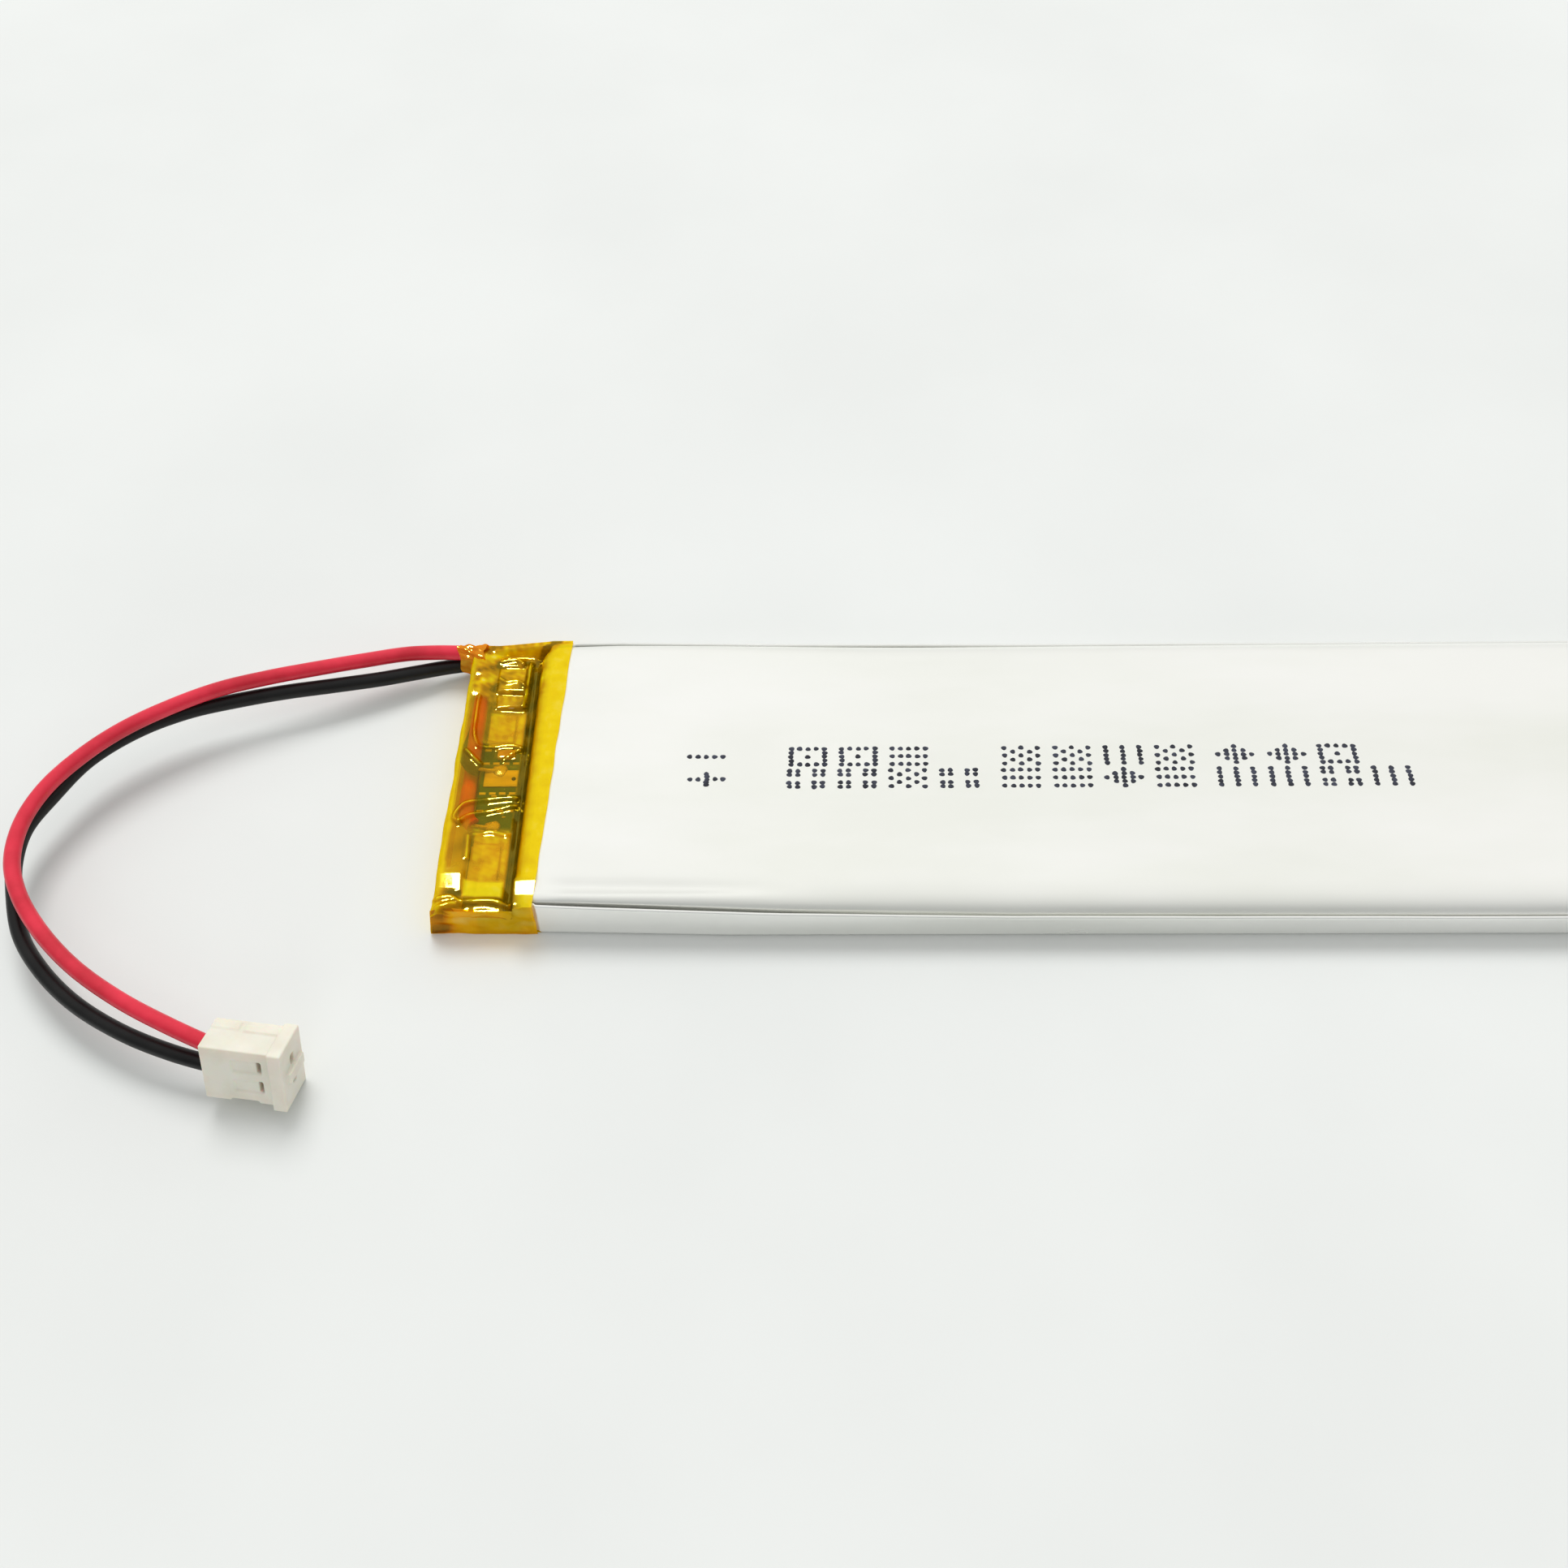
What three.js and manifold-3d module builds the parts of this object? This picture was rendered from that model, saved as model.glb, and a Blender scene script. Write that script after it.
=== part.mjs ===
// Slim lithium-polymer pouch cell with a protection board under an amber tape cap
// and two leads that end in a 2-way crimp plug. Millimetres, +Z up.
// Head (board, leads) at -X, tail at +X, flat cover side on the ground.
import * as THREE from "three";
import { mergeVertices } from "three/addons/utils/BufferGeometryUtils.js";
import Module from "manifold-3d";

// ---- driving dimensions ------------------------------------------------------------------
const LENGTH = 160; // head tape to tail
const WIDTH = 30; // over both folded side seals
const CELL_Z = 4; // cell thickness
const FOIL = 0.14; // pouch laminate, as modelled
const COVER = 0.22; // flat cover and its folded seals
const TAPE = 0.1; // polyimide tape
const TAPE_LENGTH = 8.8; // how far the tape cap reaches along the cell, on the -Y side
const TAPE_SKEW = 0.033; // growth of that length per millimetre towards +Y
const HEAD_HALF = 14.6; // half width over the tape cap
const CUP_HALF = 14.3; // half width of the drawn cup
const CUP_START = 6.8; // from the head end to the foot of the cup
const SHOULDER = 1.2; // radius of the cup's top edges
const TERRACE_START = 2.5; // from the head end to the terrace edge
const WING_Z = 3; // height of the folded side seals
const BOARD_W = 3.6; // protection board along X
const BOARD_T = 0.6;
const BOARD_Z = 1.5; // underside of the board
const LEAD_D = 1.4; // over the insulation
const STRAND_D = 0.7; // stripped and tinned conductor
const THIN_STRAND_D = 0.5; // the black lead's end, bent up to its pad
const TAB_W = 3.7; // cell tabs along Y
const TAB_T = 0.08;
const TAB_Z = 0.37; // middle of the tabs where they leave the pouch
const POSITIVE_Y = 5.6; // middle of each tab along Y
const NEGATIVE_Y = -9;
const ROLL_Z = 2.08; // middle of the electrode roll
const ROLL_STRAIGHT = 12.2; // half of the flat stretch of a winding
const ELECTRODE_T = 0.13;
const SEPARATOR_T = 0.03;
const WINDING_GAP = 0.025;
const WINDINGS = 3;
const PITCH = 2; // between the plug's two ways
const HOUSING = { length: 6.8, height: 5.3, thickness: 3.6 };
const PLUG_AT = [-95.65, -27.8, 3.6]; // middle of the plug's lead side
const PLUG_TURN = 7; // degrees, heading of the plug to the right of +X
const PLUG_DIP = 1.4; // degrees, mating end down
const PLUG_ROLL = 23; // degrees, lower way leaning towards -Y
const GAP = 0.02;

const HEAD = -LENGTH / 2;
const TAIL = LENGTH / 2;
const HALF = WIDTH / 2;
const CUP_X = HEAD + CUP_START;
const TERRACE_X = HEAD + TERRACE_START;
const TAPE_X = HEAD + TAPE_LENGTH;
const FLANGE_Z = COVER + GAP;
const TERRACE_Z = 0.64; // top of the sealed terrace
const BOARD_X = TERRACE_X - 0.2;
const BOARD_TOP = BOARD_Z + BOARD_T;
const STRIP_Z = BOARD_TOP + GAP;
const LAYER = 2 * (ELECTRODE_T + SEPARATOR_T) + 4 * WINDING_GAP;

// Lead routes, first point at the tape cap, last in the plug. Across the table they were worked out from
// the photo through the fitted camera, then thinned, rounded and shifted by hand. Heights are assumed.
const RED_ROUTE = [
  [-80.35, 14.4, 2.9], [-83, 14.4, 3], [-86, 14.1, 3.2], [-90, 12.9, 3.7], [-94, 11.5, 4.3],
  [-98, 10.1, 4.8], [-102.3, 8.4, 5.2], [-106.3, 6.2, 5.4], [-110, 3.6, 5.5], [-113, 0.6, 5.5],
  [-115.3, -2.9, 5.5], [-116.4, -6.5, 5.4], [-116.2, -10.2, 5.3], [-114.8, -13.4, 5.2],
  [-112.1, -16.9, 5.1], [-108.3, -20.4, 5.1], [-103.6, -23.5, 5.1], [-99, -25.8, 4.95],
  [-95.08, -27.45, 4.53],
];
const BLACK_ROUTE = [
  [-80.4, 14.3, 1.35], [-82.6, 13.8, 1.5], [-85.5, 12.8, 1.9], [-88.4, 11.8, 2.3],
  [-92.6, 10.6, 2.85], [-96.9, 9.5, 3.3], [-101.1, 8.3, 3.6], [-105.3, 6.9, 3.8], [-109.4, 4.7, 3.9],
  [-113.1, 1.4, 3.9], [-115.4, -2.5, 3.8], [-116.9, -5.9, 3.7], [-117, -9.2, 3.5],
  [-116.2, -12.3, 3.4], [-114.6, -16.3, 3.2], [-112, -19.6, 3.2], [-108.4, -22.7, 3.1],
  [-103.7, -25.4, 3.1], [-99.3, -27.1, 2.95], [-95.2, -28.2, 2.7],
];
const RED_INNER = [
  [-79.85, 14.3, 2.9], [-79.2, 14, 2.9], [-78.7, 12.9, 2.85], [-78.5, 11, 2.85],
  [-78.45, 9, 2.85], [-78.45, 5, 2.85], [-78.9, 2.2, 2.85], [-78.9, 0.2, 2.85],
  [-78.55, -2.4, 2.85], [-78.4, -3.9, 2.8], [-78.2, -4.65, 2.74], [-77.82, -5, 2.68],
];
const BLACK_INNER = [
  [-79.85, 14.3, 1.35], [-79.2, 14, 1.35], [-78.95, 12.9, 1.25], [-78.8, 10.5, 1.2],
  [-78.85, 7.4, 1.2], [-78.85, 4, 1.2], [-78.75, 2.2, 1.2],
];
const BLACK_STRANDS = [
  [-78.73, 1.9, 1.2], [-78.5, 1.4, 1.3], [-78.15, 1.15, 1.7], [-78.07, 1.15, 2.2],
  [-77.65, 1.15, 2.64], [-76.9, 1.15, 2.65], [-76.3, 1.15, 2.65],
];

const wasm = await Module();
wasm.setup();

// ---- helpers -----------------------------------------------------------------------------
function box(x0, x1, y0, y1, z0, z1) {
  const g = new THREE.BoxGeometry(x1 - x0, y1 - y0, z1 - z0);
  g.translate((x0 + x1) / 2, (y0 + y1) / 2, (z0 + z1) / 2);
  return g;
}

function cylinder(radius, length, at, axis = "z", sides = 12) {
  const g = new THREE.CylinderGeometry(radius, radius, length, sides);
  if (axis === "z") g.rotateX(Math.PI / 2);
  if (axis === "x") g.rotateZ(Math.PI / 2);
  g.translate(...at);
  return g;
}

// A flat outline in X and Z, extruded along Y.
function profileXZ(points, y0, y1) {
  const shape = new THREE.Shape(points.map(([x, z]) => new THREE.Vector2(x, z)));
  const g = new THREE.ExtrudeGeometry(shape, { depth: y1 - y0, bevelEnabled: false });
  g.rotateX(Math.PI / 2);
  g.translate(0, y1, 0);
  return g;
}

// A flat outline in Y and Z, extruded along X.
function profileYZ(points, x0, x1) {
  const shape = new THREE.Shape(points.map(([y, z]) => new THREE.Vector2(y, z)));
  const g = new THREE.ExtrudeGeometry(shape, { depth: x1 - x0, bevelEnabled: false });
  g.rotateX(Math.PI / 2);
  g.rotateZ(Math.PI / 2);
  g.translate(x0, 0, 0);
  return g;
}

function solid(g) {
  const bare = g.clone();
  bare.deleteAttribute("normal");
  bare.deleteAttribute("uv");
  const m = mergeVertices(bare, 1e-5);
  return new wasm.Manifold(
    new wasm.Mesh({
      numProp: 3,
      vertProperties: new Float32Array(m.attributes.position.array),
      triVerts: new Uint32Array(m.index.array),
    }),
  );
}

function geometry(body) {
  const mesh = body.getMesh();
  const g = new THREE.BufferGeometry();
  g.setAttribute("position", new THREE.BufferAttribute(new Float32Array(mesh.vertProperties), 3));
  g.setIndex(new THREE.BufferAttribute(new Uint32Array(mesh.triVerts), 1));
  g.computeVertexNormals();
  return g;
}

const join = (...parts) => geometry(parts.map(solid).reduce((a, b) => a.add(b)));
const cut = (base, ...tools) => geometry(tools.map(solid).reduce((a, b) => a.subtract(b), solid(base)));
const common = (a, b) => geometry(solid(a).intersect(solid(b)));

// Closed body through a stack of equal-length rings, ends closed by fans.
function ringStack(rings) {
  const n = rings[0].length;
  const points = rings.flat(2);
  const index = [];
  for (let k = 0; k + 1 < rings.length; k++) {
    for (let i = 0; i < n; i++) {
      const a = k * n + i;
      const b = k * n + ((i + 1) % n);
      index.push(a, b, b + n, a, b + n, a + n);
    }
  }
  const top = (rings.length - 1) * n;
  for (let i = 1; i + 1 < n; i++) {
    index.push(0, i + 1, i, top, top + i, top + i + 1);
  }
  const g = new THREE.BufferGeometry();
  g.setAttribute("position", new THREE.Float32BufferAttribute(points, 3));
  g.setIndex(index);
  g.computeVertexNormals();
  return g;
}

function roundedRing(x0, x1, half, radius, z, steps = 5) {
  const ring = [];
  const corners = [[x1, half, 0], [x0, half, 1], [x0, -half, 2], [x1, -half, 3]];
  for (const [x, y, quarter] of corners) {
    const cx = x - Math.sign(x) * radius;
    const cy = y - Math.sign(y) * radius;
    for (let i = 0; i <= steps; i++) {
      const a = (quarter + i / steps) * (Math.PI / 2);
      ring.push([cx + radius * Math.cos(a), cy + radius * Math.sin(a), z]);
    }
  }
  return ring;
}

function tube(points, diameter, steps) {
  const curve = new THREE.CatmullRomCurve3(points.map((p) => new THREE.Vector3(...p)), false, "centripetal");
  const ring = new THREE.Shape();
  const sides = 8;
  for (let i = 0; i < sides; i++) {
    const a = ((i + 0.5) / sides) * 2 * Math.PI;
    const p = [(diameter / 2) * Math.cos(a), (diameter / 2) * Math.sin(a)];
    if (i === 0) ring.moveTo(...p);
    else ring.lineTo(...p);
  }
  ring.closePath();
  return new THREE.ExtrudeGeometry(ring, { steps, bevelEnabled: false, extrudePath: curve });
}

// The tape's back edge runs slightly askew, and so does everything that starts at it.
function skewed(g) {
  const p = g.attributes.position;
  for (let i = 0; i < p.count; i++) {
    const x = p.getX(i);
    if (x > TAPE_X - 0.05 && x < TAPE_X + 1.05) p.setX(i, x + TAPE_SKEW * (p.getY(i) + HEAD_HALF));
  }
  return g;
}

// ---- pouch -------------------------------------------------------------------------------
// One skin of the drawn cup: rings from its foot up round the shoulder.
function cupSkin(inset, topInset) {
  const x0 = CUP_X + inset;
  const x1 = TAIL - 0.3 - inset;
  const half = CUP_HALF - inset;
  const top = CELL_Z - topInset;
  const r = SHOULDER - inset;
  const corner = 2.2 - inset;
  const rings = [roundedRing(x0, x1, half, corner, FLANGE_Z)];
  for (let i = 0; i <= 4; i++) {
    const a = (i / 4) * (Math.PI / 2);
    const s = r * (1 - Math.cos(a));
    rings.push(roundedRing(x0 + s, x1 - s, half - s, corner - s * 0.7, top - r + r * Math.sin(a)));
  }
  return rings;
}

function sideWing(y0, y1, x0, z0, drop) {
  const line = [
    [x0, z0], [TAIL - 0.6, z0], [TAIL - 0.6, WING_Z - 0.5 - drop], [TAIL - 1.1, WING_Z - drop],
    [HEAD + 20, WING_Z - drop], [HEAD + 14, WING_Z + 0.3 - drop], [x0, WING_Z + 0.6 - drop],
  ];
  return profileXZ(line, y0, y1);
}

function pouchCup() {
  const skin = ringStack([...cupSkin(FOIL, FOIL).reverse(), ...cupSkin(0, 0)]);
  const wingIn = HALF - COVER - 0.04 - FOIL;
  const wingOut = HALF - COVER - 0.04;
  const foot = FLANGE_Z + FOIL;
  const parts = [skin, box(TERRACE_X, CUP_X + FOIL, 0.5 - CUP_HALF, CUP_HALF - 0.5, FLANGE_Z, TERRACE_Z)];
  for (const side of [-1, 1]) {
    const span = [side * wingIn, side * wingOut].sort((a, b) => a - b);
    const web = [side * (CUP_HALF - FOIL), side * wingOut].sort((a, b) => a - b);
    parts.push(skewed(sideWing(...span, TAPE_X + 0.45, FLANGE_Z, 0.1)));
    parts.push(skewed(box(TAPE_X + 0.45, TAIL - 3, ...web, FLANGE_Z, foot)));
  }
  const notch = (y) => {
    const half = TAB_W / 2 + 0.6;
    return box(TERRACE_X - 1, CUP_X + 1, y - half, y + half, 0, TAB_Z + 0.17);
  };
  const tapeSeat = skewed(box(CUP_X - 1, TAPE_X + 0.06, -HALF, HALF, CELL_Z - TAPE / 2, CELL_Z + 1));
  return cut(join(...parts), notch(POSITIVE_Y), notch(NEGATIVE_Y), tapeSeat);
}

// Channel section: a floor with a wall up each side.
function channel(half, wall, floorZ, floorT, wallZ) {
  const inner = half - wall;
  const top = floorZ + floorT;
  return [
    [-half, floorZ], [half, floorZ], [half, wallZ], [inner, wallZ],
    [inner, top], [-inner, top], [-inner, wallZ], [-half, wallZ],
  ];
}

function pouchCover() {
  const start = TAPE_X + 0.12;
  const neckStart = HEAD + 4;
  const wingTop = WING_Z + 0.6;
  const headEdge = HEAD_HALF - TAPE - GAP;
  const neck = channel(headEdge, 0.13, TAPE + GAP, 0.09, WING_Z);
  const body = channel(HALF, COVER, 0, COVER, wingTop);
  const parts = [
    box(TERRACE_X, neckStart + 0.5, 0.3 - headEdge, headEdge - 0.3, TAPE + 0.03, TAPE + 0.1),
    skewed(profileYZ(neck, neckStart, start + 0.16)),
    skewed(profileYZ(body, start, TAIL - 0.6)),
    box(TAIL - 1, TAIL, 0.15 - HALF, HALF - 0.15, 0.01, COVER - 0.01),
  ];
  for (const side of [-1, 1]) {
    const link = [side * (headEdge - 0.05), side * (HALF - 0.1)].sort((a, b) => a - b);
    parts.push(skewed(box(start + 0.03, start + 0.13, ...link, 0.1, WING_Z - 0.1)));
  }
  const above = [
    [start - 1, wingTop], [HEAD + 14, WING_Z + 0.3], [HEAD + 20, WING_Z],
    [TAIL - 1.1, WING_Z], [TAIL, WING_Z - 1.1], [TAIL, wingTop + 1], [start - 1, wingTop + 1],
  ];
  return cut(join(...parts), profileXZ(above, -HALF - 1, HALF + 1));
}

// ---- tape cap ----------------------------------------------------------------------------
// Outline of the tape cap over leads, board and cup end, as [x from the head end, z].
const CAP_LINE = [
  [0, 0], [0, 3.3], [0.35, 3.72], [0.9, 3.92], [2, 3.9], [2.9, 3.7], [3.6, 3.5], [6, 3.4],
  [6.5, 3.22], [6.82, 3.57], [7.3, 4.02], [7.88, 4.13], [TAPE_LENGTH, 4.13],
];
const CAP_INNER = [
  [TAPE, TAPE], [TAPE, 3.27], [0.41, 3.63], [0.91, 3.82], [1.98, 3.8], [2.88, 3.6], [3.58, 3.4],
  [5.98, 3.3], [6.5, 3.09], [6.9, 3.5], [7.36, 3.93], [7.9, 4.03], [TAPE_LENGTH + 1, 4.03],
];

function capBody(line, half, round) {
  const last = line[line.length - 1][0];
  const outline = [...line, [last, line[0][1]]].map(([x, z]) => [HEAD + x, z]);
  const z0 = line[0][1];
  const z1 = CELL_Z + 1;
  const side = [
    [-half, z0], [half, z0], [half, z1 - 1.5 - round], [half - round, z1 - 0.95], [half - 1, z1],
    [1 - half, z1], [round - half, z1 - 0.95], [-half, z1 - 1.5 - round],
  ];
  return common(profileXZ(outline, -half, half), profileYZ(side, HEAD - 1, HEAD + last + 1));
}

function headTape() {
  const outer = skewed(capBody(CAP_LINE, HEAD_HALF, 0.35));
  const inner = skewed(capBody(CAP_INNER, HEAD_HALF - TAPE, 0.32));
  return cut(outer, inner, leadOpening());
}

function endTape() {
  const y = HEAD_HALF - TAPE - GAP;
  const x = HEAD + TAPE + GAP;
  const outer = box(x, HEAD + 3.7, -y, y, COVER + 0.02, 3.2);
  const inner = box(x + TAPE, HEAD + 5, TAPE - y, y - TAPE, 0, 4);
  return cut(outer, inner, leadOpening());
}

const leadOpening = () => box(HEAD - 1, HEAD + 1.8, 13.2, HALF + 1, 0.45, 3.72);

// ---- board -------------------------------------------------------------------------------
function circuitBoard() {
  const plate = box(BOARD_X, BOARD_X + BOARD_W, -13.6, 14, BOARD_Z, BOARD_TOP);
  const notch = cylinder(0.35, 2, [BOARD_X + BOARD_W, -2.9, BOARD_Z + 0.3]);
  return cut(plate, notch);
}

function chip(x, y, length, width, height, feet) {
  const z = STRIP_Z;
  const body = box(x - length / 2, x + length / 2, y - width / 2, y + width / 2, z + 0.1, z + height);
  const legs = [];
  for (let i = 0; i < feet; i++) {
    const fy = y + (i - (feet - 1) / 2) * (width / feet);
    legs.push(box(x - length / 2 - 0.3, x + length / 2 + 0.3, fy - 0.12, fy + 0.12, z, z + 0.22));
  }
  return join(body, ...legs);
}

function chipPart(x, y, length, width, height) {
  const z = STRIP_Z;
  const cap = length * 0.24;
  const thin = 0.04; // how much the body is smaller than its end caps
  const [x0, x1] = [x - length / 2, x + length / 2];
  const [y0, y1] = [y - width / 2, y + width / 2];
  return join(
    box(x0 + cap / 2, x1 - cap / 2, y0 + thin, y1 - thin, z, z + height - thin),
    box(x0, x0 + cap, y0, y1, z, z + height),
    box(x1 - cap, x1, y0, y1, z, z + height),
  );
}

// Tab from the roll, out through the terrace and folded back over its strip.
function tab(y) {
  const t = TAB_T / 2;
  const foot = CUP_X + 1.6;
  const bend = BOARD_X - 0.12;
  const top = STRIP_Z + 0.14;
  const tip = BOARD_X + 2.9;
  const outline = [
    [foot + t, 1.9], [foot - t, 1.9], [foot - t, TAB_Z + t], [bend + t, TAB_Z + t], [bend + t, top - t],
    [tip, top - t], [tip, top + t], [bend - t, top + t], [bend - t, TAB_Z - t], [foot + t, TAB_Z - t],
  ];
  return profileXZ(outline, y - TAB_W / 2, y + TAB_W / 2);
}

function tabFilm(y) {
  const wide = TAB_W / 2 + 0.5;
  const way = TAB_W / 2 + 0.02;
  const sleeve = box(TERRACE_X - 0.12, CUP_X + 0.8, y - wide, y + wide, TAB_Z - 0.13, TAB_Z + 0.13);
  const slot = box(TERRACE_X - 1, CUP_X + 2, y - way, y + way, TAB_Z - 0.06, TAB_Z + 0.06);
  return cut(sleeve, slot);
}

function solderJoint(x, y) {
  const outline = [[0, 0], [0.75, 0], [0.72, 0.35], [0.55, 0.75], [0.3, 1.02], [0, 1.1]];
  const dome = new THREE.LatheGeometry(outline.map(([r, z]) => new THREE.Vector2(r, z)), 12);
  dome.rotateX(Math.PI / 2);
  dome.translate(x, y, STRIP_Z + 0.12);
  const way = cylinder(STRAND_D / 2 + 0.03, 2, [x - 1.05, y, BOARD_TOP + 0.55], "x", 8);
  return cut(dome, way);
}

// ---- electrode roll ----------------------------------------------------------------------
// A flattened spiral band in Y and Z: it grows only round the two ends.
function windingBand(start, thickness) {
  const steps = 6;
  const inner = [];
  const outer = [];
  for (let half = 0; half < WINDINGS * 2; half++) {
    const sideY = half % 2 ? -ROLL_STRAIGHT : ROLL_STRAIGHT;
    for (let i = 0; i <= steps; i++) {
      const turn = half / 2 + i / steps / 2;
      const a = -Math.PI / 2 + turn * 2 * Math.PI;
      const r = start + LAYER * turn;
      inner.push([sideY + r * Math.cos(a), ROLL_Z + r * Math.sin(a)]);
      outer.push([sideY + (r + thickness) * Math.cos(a), ROLL_Z + (r + thickness) * Math.sin(a)]);
    }
  }
  return profileYZ([...inner, ...outer.reverse()], CUP_X + 2.4, TAIL - 2.4);
}

// ---- plug --------------------------------------------------------------------------------
const plugPose = (() => {
  const turn = THREE.MathUtils.degToRad(PLUG_TURN);
  const dip = THREE.MathUtils.degToRad(PLUG_DIP);
  const roll = THREE.MathUtils.degToRad(PLUG_ROLL);
  const m = new THREE.Matrix4().makeTranslation(...PLUG_AT);
  m.multiply(new THREE.Matrix4().makeRotationZ(-turn));
  m.multiply(new THREE.Matrix4().makeRotationY(dip));
  m.multiply(new THREE.Matrix4().makeRotationX(-Math.PI / 2 - roll));
  return m;
})();

// Local frame: x from the lead side to the mating end, y from the red way to the black way,
// z away from the windowed face.
function connectorHousing() {
  const { length, height, thickness } = HOUSING;
  const h = height / 2;
  const t = thickness / 2;
  const parts = [
    box(0, length, -h, h, -t, t),
    box(length - 1.2, length, -h - 0.22, h + 0.22, -t - 0.35, t + 0.1),
    box(length - 4, length - 0.8, -h - 0.12, h + 0.12, t - 1.2, t - 0.6),
  ];
  const tools = [];
  for (const side of [-1, 1]) {
    const y = (side * PITCH) / 2;
    tools.push(box(-1, length + 1, y - 0.72, y + 0.72, -0.95, 0.95));
    tools.push(cylinder(0.86, 3, [0.5, y, 0], "x", 12));
    tools.push(box(2.7, 5, y - 0.62, y - 0.47, -t - 1, 0));
    tools.push(box(2.7, 5, y + 0.47, y + 0.62, -t - 1, 0));
    tools.push(box(4.5, 5, y - 0.62, y + 0.62, -t - 1, 0));
  }
  return cut(join(...parts), ...tools).applyMatrix4(plugPose);
}

function terminal(side) {
  const y = (side * PITCH) / 2;
  const mouth = box(2, 7, y - 0.45, y + 0.45, -0.42, 0.42);
  const socket = cut(box(2.9, 6.4, y - 0.62, y + 0.62, -0.6, 0.6), mouth);
  const neck = box(2.1, 3.3, y - 0.35, y + 0.35, 0.42, 0.58);
  const crimp = cylinder(0.6, 1.1, [1.75, y, 0.05], "x", 10);
  return join(socket, neck, crimp).applyMatrix4(plugPose);
}

// ---- assembly ----------------------------------------------------------------------------
const separatorOneAt = 0.16;
const anodeAt = separatorOneAt + SEPARATOR_T + WINDING_GAP;
const separatorTwoAt = anodeAt + ELECTRODE_T + WINDING_GAP;
const cathodeAt = separatorTwoAt + SEPARATOR_T + WINDING_GAP;
const chipX = BOARD_X + BOARD_W / 2;
const strandX = BOARD_X + 0.85;
const strandZ = BOARD_TOP + 0.55;
const strip = (x0, y0, y1) => box(BOARD_X + x0, BOARD_X + 3.5, y0, y1, STRIP_Z, STRIP_Z + 0.08);
const rollTop = ROLL_Z + cathodeAt + ELECTRODE_T + LAYER * (WINDINGS - 0.5);

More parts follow.
